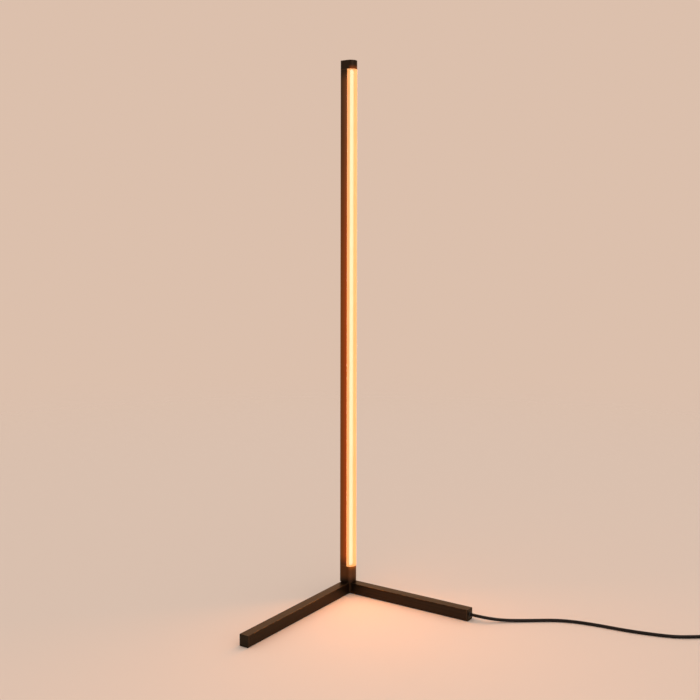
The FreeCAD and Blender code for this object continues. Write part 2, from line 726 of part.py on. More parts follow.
def make_controller_shells():
    length, width, wall = controller_length, controller_width, controller_wall
    inner = (length - 2 * wall, width - 2 * wall)
    corner = controller_corner - wall
    mid, lip_low = controller_mid, controller_mid - controller_lip_root

    def inside(play, low, high):
        """The shells' inner outline, drawn in by some play, as a slab."""
        return rounded_slab(inner[0] - 2 * play, inner[1] - 2 * play, low, high, corner - play)

    base = rounded_slab(length, width, 0, mid, controller_corner, controller_low_round, False)
    base = base.cut(inside(0, wall, mid + 1))
    lip = inside(lip_play, lip_low, mid + controller_lip_rise)
    lip = lip.cut(inside(lip_play + controller_lip, lip_low - 1, mid + controller_height))
    root = inside(-lip_play, lip_low, mid).cut(inside(controller_lip / 2, lip_low - 1, mid + 1))
    base = base.fuse(lip).fuse(root)
    top = rounded_slab(length, width, mid, controller_height, controller_corner, controller_top_round)
    roof = controller_height - wall
    top = top.cut(inside(0, mid - 1, roof))
    board_top = board_height + board_thickness
    for hand in (-1, 1):
        x = hand * shell_screw_x
        base = base.fuse(rod(base_boss, (x, 0, wall / 2), (x, 0, board_height)))
        base = base.cut(rod(shell_screw[0] + screw_play, (x, 0, -1), (x, 0, board_height + 1)))
        base = base.cut(rod(shell_screw[1] + screw_play, (x, 0, -1), (x, 0, shell_screw_land)))
        top = top.fuse(rod(top_boss, (x, 0, board_top), (x, 0, roof + wall / 2)))
        top = top.cut(rod(shell_screw[0] + thread_play, (x, 0, board_top - 1), (x, 0, roof - shell_blind)))
    for k in (-1, 0, 1):
        x = k * button_pitch
        top = top.cut(rod(button_radius + button_play, (x, 0, roof - 1), (x, 0, controller_height + 1)))
    put("controller_base", base.removeSplitter(), CONTROLLER)
    put("controller_top", top.removeSplitter(), CONTROLLER)


def make_controller_board():
    board_top = board_height + board_thickness
    length = controller_length - 2 * controller_wall - 2 * board_margin
    width = controller_width - 2 * controller_wall - 2 * board_margin
    board = rounded_slab(length, width, board_height, board_top, board_corner)
    for hand in (-1, 1):
        x = hand * shell_screw_x
        board = board.cut(rod(shell_screw[0] + screw_play, (x, 0, board_height - 1), (x, 0, board_top + 1)))
    x, y = button_pitch * 0.3, 1 - width / 2
    board = board.fuse(block((x, y, board_top), (x + chip[0], y + chip[1], board_top + chip[2])))
    put("controller_board", board, CONTROLLER)
    switches = []
    for k in (-1, 0, 1):
        x, half = k * button_pitch, switch_width / 2
        can_top = board_top + switch_height * 0.6
        can = block((x - half, -half, board_top), (x + half, half, can_top))
        dome = Part.makeCone(switch_dome[0], switch_dome[1], switch_height * 0.4,
                             Vector(x, 0, can_top), Vector(0, 0, 1))
        switch = can.fuse(dome)
        switch.Placement = CONTROLLER
        switches.append(switch)
    save("snap_switches", *switches)


def make_buttons():
    """Three turned caps with a shallow finger recess, which travel down on to their switches."""
    flange_top = controller_height - controller_wall - flange_gap
    flange_low = flange_top - button_flange_thickness
    stem_low = board_height + board_thickness + switch_height + button_travel + stem_gap
    top, radius, turn = controller_height + button_proud, button_radius, button_round
    lip = radius - turn - button_lip
    profile = [(0, stem_low), (button_stem, stem_low), (button_stem, flange_low),
               (radius + button_flange, flange_low), (radius + button_flange, flange_top),
               (radius, flange_top), (radius, top - turn)]
    crown = [(radius - turn, top), (lip, top), (lip - button_dish, top - button_dish),
             (0, top - button_dish)]
    for name, k in (("power_button", -1), ("colour_button", 0), ("brightness_button", 1)):
        x = k * button_pitch
        outer, inner = [[Vector(x + r, 0, z) for r, z in part] for part in (profile, crown)]
        slope = turn * math.sqrt(0.5)
        rounded = Part.Arc(outer[-1], Vector(x + radius - turn + slope, 0, top - turn + slope), inner[0])
        lines = Part.makePolygon(outer).Edges + [rounded.toShape()]
        lines += Part.makePolygon(inner + outer[:1]).Edges
        cap = Part.Face(Part.Wire(lines)).revolve(Vector(x, 0, 0), Vector(0, 0, 1), 360)
        put(name, cap, CONTROLLER)


def groove(x, width, z):
    """What a groove takes out of a boot that lies along X."""
    ring = rod(adapter_boot_radius + 1, (x, 0, z), (x + width, 0, z))
    return ring.cut(rod(groove_floor, (x - width, 0, z), (x + 2 * width, 0, z)))


def make_controller_trim():
    screws, boots = [], []
    tip = controller_height - controller_wall - shell_blind - shell_tip_gap
    for hand in (-1, 1):
        one = screw(shell_screw, tip - shell_screw_land, (hand * shell_screw_x, 0, shell_screw_land),
                    (0, 0, 1))
        one.Placement = CONTROLLER.multiply(one.Placement)
        screws.append(one)
        start = Vector(hand * controller_length / 2, 0, controller_mid)
        cone = Part.makeCone(boot_root_radius, boot_tip_radius, boot_length, start, Vector(hand, 0, 0))
        for k in (1, 2):
            x = start.x + hand * boot_length * k / 3
            cone = cone.cut(groove(x, hand * groove_width, controller_mid))
        cone.Placement = CONTROLLER
        boots.append(cone)
    save("controller_screws", *screws)
    save("controller_boots", *boots)


# ---------------------------------------------------------------- cord on the floor
def make_cord_run():
    """From the bush to the controller, lying loose on the floor."""
    x, y = controller_place
    rest = cord_radius
    points = [
        (cord_mouth, 0, leg_mid), (cord_mouth + 13.6, 0, leg_mid), (286, 6.0, 8.3),
        (303, 18.6, 4.7), (324, 34.2, 2.9), (352, 54.0, rest), (385, 78.4, rest),
        (420, 91.3, rest), (458, 97.6, rest), (500, 101.4, rest), (545, 110.6, rest),
        (580, 121.6, rest), (608, 141.4, rest), (634, 162.0, rest), (660, 166.5, rest),
        (682, 152.0, rest), (x - 0.5, 131.0, 3.2), (x, y + boot_mouth + 12, controller_mid),
        (x, y + boot_mouth, controller_mid),
    ]
    save("cord_run", tube("cord_run", points, cord_diameter))


coil_lift = strap_thickness + strap_lift
coil_low = coil_lift + cord_radius


def coil_point(turn):
    """Centre line of the coil: in along the floor, up half a turn, out on top.

    turn counts from 0 at the coil's left side, and it winds anticlockwise.
    """
    if turn <= coil_turns:
        radius, rise = coil_outer - coil_pitch * turn, 0.0
    elif turn <= coil_turns + 0.5:
        part = (turn - coil_turns) / 0.5
        inner = coil_outer - coil_pitch * coil_turns
        radius = inner - coil_pitch * 0.25 * (1 - abs(2 * part - 1))
        rise = coil_layer * (3 * part ** 2 - 2 * part ** 3)
    else:
        radius = coil_outer - coil_pitch * (2 * coil_turns + 0.5 - turn)
        rise = coil_layer
    angle = math.pi + 2 * math.pi * turn
    return Vector(coil_centre[0] + radius * math.cos(angle),
                  coil_centre[1] + radius * math.sin(angle), coil_low + rise)


def make_coil():
    """The put-away length: two layers on one unbroken tube."""
    total = 2 * coil_turns + 0.5
    steps = int(round(total * 4))
    turns = [total * k / steps for k in range(steps + 1)]
    points = [coil_point(t) for t in turns]
    step = 1e-4
    tangents = []
    for t in turns:
        ahead, behind = coil_point(min(t + step, total)), coil_point(max(t - step, 0))
        tangents.append((ahead - behind).normalize())
    tangents[0], tangents[-1] = Vector(0, -1, 0), Vector(0, 1, 0)
    start = points[0] - tangents[0] * cord_diameter
    end = points[-1] + tangents[-1] * cord_diameter
    edges = [Part.LineSegment(start, points[0]).toShape()]
    for k in range(steps):
        edges += biarc(points[k], tangents[k], points[k + 1], tangents[k + 1])
    edges.append(Part.LineSegment(points[-1], end).toShape())
    path = Part.Wire(edges)
    solid = sweep(path, start, tangents[0], cord_diameter)
    exact = math.pi * cord_radius ** 2 * path.Length
    print("cord_coil: length %.1f, volume over section times length %.5f, least gap %.2f"
          % (path.Length, solid.Volume / exact, least_gap(path)))
    save("cord_coil", solid)
    return start, end


def least_gap(path):
    """Least distance between stretches of the coil that aren't neighbours, less the diameter."""
    count = 700
    points = path.discretize(count)
    apart = int(count * 3 * cord_diameter / path.Length)
    best = min((points[i] - points[j]).Length
               for i in range(count) for j in range(i + apart, count))
    return best - cord_diameter


def make_coil_strap():
    """Hook-and-loop strap round the bundle, at the side where both layers lie in line."""
    near = coil_outer - coil_pitch * 0.25
    far = near - coil_pitch * math.floor(coil_turns - 0.25)
    inner = far - cord_radius
    inner = math.sqrt(inner ** 2 - (strap_width / 2) ** 2) - strap_gap
    outer = near + coil_pitch * strap_width / coil_outer / 12 + cord_radius + strap_gap
    x, y = coil_centre
    low, high = coil_lift - strap_lift / 2, coil_lift + cord_diameter + coil_layer + strap_gap
    half, t = strap_width / 2, strap_thickness
    hole = block((x - half - 1, y - outer, low), (x + half + 1, y - inner, high))
    band = block((x - half, y - outer - t, low - t), (x + half, y - inner + t, high + t))
    across = Vector(1, 0, 0)
    band = band.makeFillet(strap_round, [e for e in band.Edges if runs_along(e, across)])
    hole = hole.makeFillet(strap_round - t, [e for e in hole.Edges if runs_along(e, across)])
    side, first, last = strap_tail
    tail = block((x - half + side, y - outer + first, high + t),
                 (x + half - side, y - inner - last, high + 2 * t))
    save("coil_strap", band.cut(hole).fuse(tail).removeSplitter())


def make_cord_ends(coil_start, coil_end):
    """Cord from the controller into the coil, and out of it to the adapter."""
    x, y = controller_place
    mouth = y - boot_mouth
    points = [(x, mouth, controller_mid), (x, mouth - 11, controller_mid),
              (x + 1.5, mouth - 26, coil_low + 0.55), (coil_start.x, coil_start.y + 9, coil_low),
              (coil_start.x, coil_start.y, coil_low)]
    save("cord_to_coil", tube("cord_to_coil", points, cord_diameter))
    ax, ay = adapter_place
    mouth, height = ay - adapter_boot, adapter_height / 2
    points = [(coil_end.x, coil_end.y, coil_end.z), (coil_end.x, coil_end.y + 13, coil_end.z),
              (ax, mouth - 13, height), (ax, mouth, height)]
    save("cord_to_adapter", tube("cord_to_adapter", points, cord_diameter))


# ---------------------------------------------------------------- wall adapter
ADAPTER = Placement(Vector(adapter_place[0], adapter_place[1], 0), Rotation(Vector(0, 0, 1), 90))


def make_adapter():
    """Wall plug with its power supply, lying on the floor: local +X points out along the pins."""
    half, height = adapter_width / 2, adapter_height
    body = block((0, -half, 0), (adapter_length, half, height))
    long_edges = [e for e in body.Edges if runs_along(e, Vector(1, 0, 0))]
    body = body.makeFillet(adapter_corner, long_edges)
    back = [e for e in body.Edges if abs(e.CenterOfMass.x) < 1e-6]
    body = body.makeFillet(adapter_end_round, back)
    start, end, depth = adapter_seam - seam_width, adapter_seam, seam_depth
    around = block((start, -half - 1, -1), (end, half + 1, height + 1))
    core = block((start - 1, -half + depth, depth), (end + 1, half - depth, height - depth))
    core = core.makeFillet(adapter_corner - depth, [e for e in core.Edges if runs_along(e, Vector(1, 0, 0))])
    body = body.cut(around.cut(core))
    put("adapter_body", body, ADAPTER)
    mid = height / 2
    face_end, step = adapter_length + adapter_face, face_step
    face = block((adapter_length, -half + step, step), (face_end, half - step, height - step))
    face = face.makeFillet(adapter_corner - step, [e for e in face.Edges if runs_along(e, Vector(1, 0, 0))])
    start, reach = face_end + pin_base, pin_spacing / 2 + pin_margin
    raised = block((face_end, -reach, mid - pin_margin), (start, reach, mid + pin_margin))
    raised = raised.makeFillet(pin_margin - 1, [e for e in raised.Edges if runs_along(e, Vector(1, 0, 0))])
    face = face.fuse(raised)
    pins = []
    for hand in (-1, 1):
        y = hand * pin_spacing / 2
        sleeve_end = start + pin_length - pin_tip
        face = face.fuse(rod(sleeve_radius, (start, y, mid), (sleeve_end, y, mid)))
        pin = rod(pin_radius, (sleeve_end, y, mid), (start + pin_length, y, mid))
        tip = [e for e in pin.Edges if abs(e.CenterOfMass.x - start - pin_length) < 1e-6 and e.Length > 3]
        pin = pin.makeFillet(pin_radius * 0.7, tip)
        pin.Placement = ADAPTER
        pins.append(pin)
    put("adapter_face", face.removeSplitter(), ADAPTER)
    save("adapter_pins", *pins)
    boot = Part.makeCone(adapter_boot_radius, boot_tip_radius, adapter_boot,
                         Vector(0, 0, mid), Vector(-1, 0, 0))
    for k in (1, 2, 3):
        boot = boot.cut(groove(-adapter_boot * k / 4, -groove_width, mid))
    put("adapter_boot", boot, ADAPTER)


# ---------------------------------------------------------------- build
make_corner_block()
make_leg("right_leg", right_end, RIGHT)
make_leg("left_leg", left_end, LEFT)
make_leg_screws()
make_foot_screws()
make_pads()
make_end_cap("right_end_cap", right_end, RIGHT, True)
make_end_cap("left_end_cap", left_end, LEFT, False)
make_bush()
make_cord_anchor()
make_foot()
make_channel()
make_diffuser()
make_top_cap()
make_post_screws()
make_light()
make_leads()
make_controller_shells()
make_controller_board()
make_buttons()
make_controller_trim()
make_cord_run()
make_coil_strap()
make_cord_ends(*make_coil())
make_adapter()
print("nodes", len(made))
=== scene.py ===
# %% [markdown]
# # A corner floor lamp
#
# The real object is a slim aluminium post that stands on two legs at a right
# angle, so that it fits into the corner of a room.  A half-round milky cover
# clicks on to the front of the post and hides a strip of light.  A round cord
# leaves the end of one leg and lies on the floor.
#
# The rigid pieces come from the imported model, at their real size and in their
# real place, in metres with Z up.  This script gives them their finishes, lays
# the cord, adds the small parts that repeat, and lights the scene.  It could
# have rebuilt every piece in Blender, but then two models would have to agree.

# %% Load the frame
import bpy
import bmesh
import math
from mathutils import Matrix, Vector


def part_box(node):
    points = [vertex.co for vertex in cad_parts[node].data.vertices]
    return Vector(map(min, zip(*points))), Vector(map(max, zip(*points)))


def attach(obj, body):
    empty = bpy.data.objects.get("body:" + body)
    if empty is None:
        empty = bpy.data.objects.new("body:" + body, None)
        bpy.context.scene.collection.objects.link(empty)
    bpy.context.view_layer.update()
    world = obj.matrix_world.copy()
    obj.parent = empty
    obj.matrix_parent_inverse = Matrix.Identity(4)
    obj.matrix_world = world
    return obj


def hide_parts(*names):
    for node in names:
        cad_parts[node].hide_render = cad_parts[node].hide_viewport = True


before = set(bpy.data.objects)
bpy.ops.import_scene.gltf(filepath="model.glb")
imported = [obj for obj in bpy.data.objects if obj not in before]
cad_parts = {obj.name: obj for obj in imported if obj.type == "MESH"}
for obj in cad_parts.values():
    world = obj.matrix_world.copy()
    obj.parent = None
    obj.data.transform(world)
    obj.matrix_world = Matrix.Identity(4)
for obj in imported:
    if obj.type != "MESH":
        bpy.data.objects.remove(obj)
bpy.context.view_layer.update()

# %% [markdown]
# ## The camera
#
# A photograph is matched by its vanishing lines.  The post is upright and the
# legs meet at a right angle, which gives the height of the lens, the way it
# looks, and its focal length.  The horizon of the picture lies above its
# middle although the lens looks almost level.  That is a shifted lens, so the
# shift is set instead of tilting the camera, which would make the post lean.

# %% Camera from its place, heading and lens
camera_place = Vector((1.0032, -1.5074, 0.6614))
camera_heading = 0.5861          # radians from +Y towards -X
camera_pitch = 0.0485            # radians below level
camera_roll = 0.0018
focal_pixels = 965.65
photo_side = 700                 # pixels, width and height
horizon_row = 290.44             # row of the photograph that the lens axis meets

camera_data = bpy.data.cameras.new("camera")
camera_data.sensor_width = 36.0
camera_data.lens = focal_pixels / photo_side * camera_data.sensor_width
camera_data.shift_y = (horizon_row - photo_side / 2) / photo_side
camera_data.clip_end = 50.0
camera = bpy.data.objects.new("camera", camera_data)
turned = Matrix.Rotation(camera_heading, 4, "Z") @ Matrix.Rotation(math.pi / 2 - camera_pitch, 4, "X")
camera.matrix_world = Matrix.Translation(camera_place) @ turned @ Matrix.Rotation(camera_roll, 4, "Z")
scene = bpy.context.scene
scene.collection.objects.link(camera)
scene.camera = camera
scene.view_settings.view_transform = "Standard"
print("lens %.2f mm, shift %.4f" % (camera_data.lens, camera_data.shift_y))

# %% Helper: a mesh piece from a bmesh


def as_piece(work, name, material=None):
    """Turns a bmesh into a named object of the scene."""
    mesh = bpy.data.meshes.new(name)
    work.to_mesh(mesh)
    work.free()
    if material:
        mesh.materials.append(material)
    made = bpy.data.objects.new(name, mesh)
    scene.collection.objects.link(made)
    print(name, "has", len(mesh.polygons), "faces")
    return made


# %% [markdown]
# ## The cord
#
# A round cord, 5.5 mm thick, leaves a rubber bush in the end of the right leg,
# drops to the floor in a soft bend and wanders off to the right.  It could be
# a mesh tube, but a curve keeps its thickness in every bend and is easy to
# read: the points below are its route, and a NURBS line of order 3 runs
# smoothly past them.  Past the edge of the picture it reaches the inline
# controller.

# %% Helper: a cord as one NURBS spline
cord_diameter = 0.0055
print("cord", cord_diameter, "m thick")


def nurbs_cord(name, route, diameter):
    """One open spline of round section along the points of a route."""
    curve = bpy.data.curves.new(name, "CURVE")
    curve.dimensions = "3D"
    curve.bevel_depth = diameter / 2
    curve.bevel_resolution = 5
    curve.resolution_u = 8
    curve.use_fill_caps = True
    spline = curve.splines.new("NURBS")
    spline.points.add(len(route) - 1)
    for point, place in zip(spline.points, route):
        point.co = (*place, 1.0)
    spline.order_u = 3
    spline.use_endpoint_u = True
    cord = bpy.data.objects.new(name, curve)
    scene.collection.objects.link(cord)
    print(name, "has", len(route), "points")
    return cord


# %% The stretch that lies on the floor
floor_route = [
    (0.2582, 0, 0.0105), (0.2718, 0, 0.0105), (0.286, 0.006, 0.0083),
    (0.303, 0.0186, 0.0047), (0.324, 0.0342, 0.0029), (0.352, 0.054, 0.00275),
    (0.385, 0.0784, 0.00275), (0.42, 0.0913, 0.00275), (0.458, 0.0976, 0.00275),
    (0.5, 0.1014, 0.00275), (0.545, 0.1106, 0.00275), (0.58, 0.1216, 0.00275),
    (0.608, 0.1414, 0.00275), (0.634, 0.162, 0.00275), (0.66, 0.1665, 0.00275),
    (0.682, 0.152, 0.00275), (0.6905, 0.131, 0.0032), (0.691, 0.116, 0.006),
    (0.691, 0.104, 0.006),
]
floor_cord = nurbs_cord("floor_cord", floor_route, cord_diameter)

# %% [markdown]
# ## The length that is put away
#
# About a metre of cord is left over between the controller and the wall
# adapter.  For storage it is wound into a round coil in two layers: it spirals
# in on the floor, climbs in the half turn where the spiral reverses, and
# spirals out again on top.  The turns are more points of the same spline, from
# a formula, so the coil is one unbroken cord and not a stack of rings.

# %% The coil's centre line
coil_centre = (0.7285, -0.035)
coil_outer = 0.0375              # centre line of the outermost turn
coil_turns = 2.5                 # in each layer
coil_pitch = 0.0061
coil_layer = 0.006
coil_low = 0.00365               # height of the lower layer's centre line
points_per_turn = 24


def coil_point(turn):
    """Centre line of the coil, anticlockwise from its left side."""
    if turn <= coil_turns:
        radius, rise = coil_outer - coil_pitch * turn, 0.0
    elif turn <= coil_turns + 0.5:
        part = (turn - coil_turns) / 0.5
        radius = coil_outer - coil_pitch * (coil_turns + 0.25 * (1 - abs(2 * part - 1)))
        rise = coil_layer * (3 * part ** 2 - 2 * part ** 3)
    else:
        radius = coil_outer - coil_pitch * (2 * coil_turns + 0.5 - turn)
        rise = coil_layer
    angle = math.pi + 2 * math.pi * turn
    return (coil_centre[0] + radius * math.cos(angle),
            coil_centre[1] + radius * math.sin(angle), coil_low + rise)


coil_total = 2 * coil_turns + 0.5
coil_steps = round(coil_total * points_per_turn)
coil_route = [coil_point(coil_total * k / coil_steps) for k in range(coil_steps + 1)]
print("coil of", coil_total, "turns in", len(coil_route), "points")

# %% The stretch from the controller through the coil to the adapter
lead_in = [
    (0.691, 0.018, 0.006), (0.691, 0.007, 0.006), (0.6925, -0.008, 0.0042),
    (0.691, -0.0205, 0.00365), (0.691, -0.0295, 0.00365),
]
lead_out = [
    (0.766, -0.0295, 0.00965), (0.766, -0.0165, 0.00965), (0.758, 0.009, 0.013),
    (0.758, 0.022, 0.013),
]
coiled_cord = nurbs_cord("coiled_cord", lead_in + coil_route + lead_out, cord_diameter)

# %% [markdown]
# ## Effects that several finishes share
#
# Real surfaces are never one flat colour.  Extruded aluminium has faint lines
# along its length, paint has a fine grain, edges are polished by hands, and
# dust settles on what faces up.  Some effects paint light and shade instead: a
# highlight on the edges, shade on what faces the floor, and glow beside the
# cover.  Each such effect is one shader node group with named inputs, built
# once and placed in every material that needs it.
# Image textures could do this too, but nodes keep their detail at any distance
# and need no files.

# %% Helpers: nodes, groups and materials


def node(tree, kind, inputs=None, **settings):
    """Adds a shader node.  A value that is a socket is linked, any other is set."""
    made = tree.nodes.new(kind)
    for key, value in settings.items():
        setattr(made, key, value)
    for key, value in (inputs or {}).items():
        if isinstance(value, bpy.types.NodeSocket):
            tree.links.new(value, made.inputs[key])
        else:
            made.inputs[key].default_value = value
    return made


def effect(name, inputs, outputs):
    """Starts a shader group with float or vector inputs and float outputs."""
    group = bpy.data.node_groups.new(name, "ShaderNodeTree")
    for label, value in inputs.items():
        kind = "NodeSocketFloat" if isinstance(value, float) else "NodeSocketVector"
        socket = group.interface.new_socket(label, in_out="INPUT", socket_type=kind)
        socket.default_value = value
    for label in outputs:
        group.interface.new_socket(label, in_out="OUTPUT", socket_type="NodeSocketFloat")
    print("effect", name, "puts out", outputs)
    return group, group.nodes.new("NodeGroupInput").outputs, group.nodes.new("NodeGroupOutput").inputs


def maths(tree, operation, first, second=0.0, third=0.0, clamp=False):
    """A Math node, as a function."""
    made = node(tree, "ShaderNodeMath", {0: first, 1: second, 2: third}, operation=operation)
    made.use_clamp = clamp
    return made.outputs[0]


def ramp(tree, value, low, high, to_low=0.0, to_high=1.0):
    """Maps a value from one range to another, smoothly, and holds it there."""
    made = node(tree, "ShaderNodeMapRange", {"Value": value, "From Min": low, "From Max": high,
                                             "To Min": to_low, "To Max": to_high},
                interpolation_type="SMOOTHSTEP")
    return made.outputs["Result"]


def blend(tree, amount, first, second):
    """Mixes two colours, each a tuple or a socket."""
    made = tree.nodes.new("ShaderNodeMix")
    made.data_type = "RGBA"
    for key, value in (("Factor_Float", amount), ("A_Color", first), ("B_Color", second)):
        socket = next(s for s in made.inputs if s.identifier == key)
        if isinstance(value, bpy.types.NodeSocket):
            tree.links.new(value, socket)
        else:
            socket.default_value = value
    return next(s for s in made.outputs if s.identifier == "Result_Color")


print("helpers ready")

# %% Effect: lines that a die draws along an extrusion
drawn_lines, given, result = effect(
    "drawn_lines", {"Vector": (0.0, 0.0, 0.0), "Squeeze": (1.0, 1.0, 1.0), "Lines": 400.0},
    ("Height", "Tone"))
pressed = node(drawn_lines, "ShaderNodeVectorMath", {0: given["Vector"], 1: given["Squeeze"]},
               operation="MULTIPLY").outputs[0]
fine = node(drawn_lines, "ShaderNodeTexNoise",
            {"Vector": pressed, "Scale": given["Lines"], "Detail": 3.0, "Roughness": 0.6})
broad = node(drawn_lines, "ShaderNodeTexNoise",
             {"Vector": pressed, "Detail": 2.0,
              "Scale": maths(drawn_lines, "MULTIPLY", given["Lines"], 0.3)})
drawn_lines.links.new(ramp(drawn_lines, fine.outputs[0], 0.3, 0.7), result["Height"])
drawn_lines.links.new(ramp(drawn_lines, broad.outputs[0], 0.35, 0.65), result["Tone"])

# %% Effect: the fine grain of paint and of moulded plastic
fine_grain, given, result = effect(
    "fine_grain", {"Vector": (0.0, 0.0, 0.0), "Grain": 2500.0, "Clouds": 40.0}, ("Height", "Tone"))
cells = node(fine_grain, "ShaderNodeTexVoronoi", {"Vector": given["Vector"], "Scale": given["Grain"]},
             feature="SMOOTH_F1")
speckle = node(fine_grain, "ShaderNodeTexNoise",
               {"Vector": given["Vector"], "Scale": given["Grain"], "Detail": 2.0})
clouds = node(fine_grain, "ShaderNodeTexNoise",
              {"Vector": given["Vector"], "Scale": given["Clouds"], "Detail": 4.0})
rough = maths(fine_grain, "MULTIPLY_ADD", cells.outputs["Distance"], 0.5,
              maths(fine_grain, "MULTIPLY", speckle.outputs[0], 0.5))
fine_grain.links.new(rough, result["Height"])
fine_grain.links.new(ramp(fine_grain, clouds.outputs[0], 0.3, 0.7), result["Tone"])

# %% Effect: edges of a boxy piece, worn a little unevenly, which also carry a painted highlight
edge_wear_and_highlight, given, result = effect(
    "edge_wear_and_highlight", {"Vector": (0.0, 0.0, 0.0), "Middle": (0.0, 0.0, 0.0), "Half": (1.0, 1.0, 1.0),
                  "Reach": 0.0015, "Breaks": 120.0}, ("Mask",))
offset = node(edge_wear_and_highlight, "ShaderNodeVectorMath", {0: given["Vector"], 1: given["Middle"]},
              operation="SUBTRACT").outputs[0]
offset = node(edge_wear_and_highlight, "ShaderNodeVectorMath", {0: offset}, operation="ABSOLUTE").outputs[0]
inward = node(edge_wear_and_highlight, "ShaderNodeVectorMath", {0: given["Half"], 1: offset},
              operation="SUBTRACT").outputs[0]
depth = node(edge_wear_and_highlight, "ShaderNodeSeparateXYZ", {0: inward}).outputs
least = maths(edge_wear_and_highlight, "MINIMUM", depth[0], depth[1])
most = maths(edge_wear_and_highlight, "MAXIMUM", depth[0], depth[1])
second = maths(edge_wear_and_highlight, "MAXIMUM", least, maths(edge_wear_and_highlight, "MINIMUM", most, depth[2]))
breaks = node(edge_wear_and_highlight, "ShaderNodeTexNoise",
              {"Vector": given["Vector"], "Scale": given["Breaks"], "Detail": 4.0}).outputs[0]
near = maths(edge_wear_and_highlight, "SUBTRACT", 1.0, maths(edge_wear_and_highlight, "DIVIDE", second, given["Reach"]), clamp=True)
edge_wear_and_highlight.links.new(maths(edge_wear_and_highlight, "MULTIPLY", near, ramp(edge_wear_and_highlight, breaks, 0.35, 0.6)), result["Mask"])

# %% Effect: dust on what faces up
dust, given, result = effect("dust", {"Vector": (0.0, 0.0, 0.0), "Amount": 0.3}, ("Mask",))
normal = node(dust, "ShaderNodeNewGeometry").outputs["Normal"]
up = node(dust, "ShaderNodeSeparateXYZ", {0: normal}).outputs[2]
patches = node(dust, "ShaderNodeTexNoise",
               {"Vector": given["Vector"], "Scale": 60.0, "Detail": 5.0}).outputs[0]
specks = node(dust, "ShaderNodeTexNoise",
              {"Vector": given["Vector"], "Scale": 1800.0, "Detail": 1.0}).outputs[0]
spread = maths(dust, "MULTIPLY", ramp(dust, patches, 0.3, 0.75), ramp(dust, specks, 0.45, 0.75))
settled = maths(dust, "MULTIPLY", spread, ramp(dust, up, 0.4, 1.0))
dust.links.new(maths(dust, "MULTIPLY", settled, given["Amount"]), result["Mask"])

# %% Effect: painted shade on what faces the floor
underside, given, result = effect("underside", {"Start": 0.25, "End": 0.8}, ("Mask",))
normal = node(underside, "ShaderNodeNewGeometry").outputs["Normal"]
down = maths(underside, "MULTIPLY", node(underside, "ShaderNodeSeparateXYZ", {0: normal}).outputs[2], -1.0)
underside.links.new(ramp(underside, down, given["Start"], given["End"]), result["Mask"])

# %% Effect: painted glow beside the cover's joints
painted_joint_glow, given, result = effect(
    "painted_joint_glow", {"Distance": 0.0, "Reach": 0.003, "Falloff": 2.0}, ("Mask",))
share = maths(painted_joint_glow, "DIVIDE", given["Distance"], given["Reach"])
closeness = maths(painted_joint_glow, "SUBTRACT", 1.0, share, clamp=True)
painted_joint_glow.links.new(maths(painted_joint_glow, "POWER", closeness, given["Falloff"]), result["Mask"])

# %% [markdown]
# ## Materials
#
# Every finish starts from one Principled shader.  A value that is the same all
# over, such as a metal's Metallic, is set on its socket.  Only what changes
# over the surface is fed by nodes.  Patterns read Object coordinates, which
# here are real metres, so a grain of 0.4 mm is 0.4 mm on every piece.

# %% Helpers: a material, its coordinates and its bump


def finish(name, **plain):
    """A material with a Principled shader and its plain values set."""
    material = bpy.data.materials.new(name)
    material.use_nodes = True
    tree = material.node_tree
    shader = tree.nodes["Principled BSDF"]
    for label, value in plain.items():
        shader.inputs[label.replace("_", " ").title().replace("Ior", "IOR")].default_value = value
    where = node(tree, "ShaderNodeTexCoord").outputs["Object"]
    print("finish", name)
    return material, tree, shader.inputs, where


def use_effect(tree, group, **values):
    """Places an effect in a material and returns its outputs."""
    placed = node(tree, "ShaderNodeGroup", node_tree=group)
    for label, value in values.items():
        if isinstance(value, bpy.types.NodeSocket):
            tree.links.new(value, placed.inputs[label])
        else:
            placed.inputs[label].default_value = value
    return placed.outputs


def relief(tree, height, depth):
    """A bump of a real depth in metres."""
    return node(tree, "ShaderNodeBump", {"Height": height, "Distance": depth, "Strength": 1.0}).outputs[0]


def middle_and_half(*nodes):
    """Middle and half size of the box round some nodes."""
    boxes = [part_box(n) for n in nodes]
    low = Vector([min(b[0][i] for b in boxes) for i in range(3)])
    high = Vector([max(b[1][i] for b in boxes) for i in range(3)])
    return (low + high) / 2, (high - low) / 2


def wear(*nodes):
    """Sets a finish on CAD nodes, given last as a material."""
    material = nodes[-1]
    for name in nodes[:-1]:
        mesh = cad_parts[name].data
        mesh.materials.clear()
        mesh.materials.append(material)
        dressed.append(name)


dressed = []

# %% [markdown]
# ### Brown-black anodised aluminium
#
# The post, its foot and the two legs are aluminium that was drawn through a
# die and then anodised almost black, and the post's cap looks the same.  It could be a
# black paint, but paint mirrors a room in the room's own colour, and this
# finish mirrors it in brown.  Light goes through the dyed oxide layer, meets
# the metal and comes back dyed.  So it is a metal with a dark brown base and
# a warm tint at grazing angles, faint lines along the bar, and lighter edges,
# partly where the layer is a little thinner and partly a painted highlight.
# What faces the floor gets a painted shade, in its colour and its reflections.

# %% Anodised bars
anodised_dark = (0.031, 0.022, 0.0150, 1.0)
anodised_light = (0.039, 0.028, 0.0195, 1.0)
# painted shade for what faces the floor
painted_shade_below = (0.006, 0.004, 0.003, 1.0)
# edge colour: partly wear, partly a painted highlight
worn_and_highlit_edge = (0.120, 0.074, 0.044, 1.0)
grazing_tint = (1.0, 0.87, 0.73, 1.0)
dust_colour = (0.42, 0.33, 0.26, 1.0)
line_squeeze = 0.02              # how much a drawn line is stretched along its bar


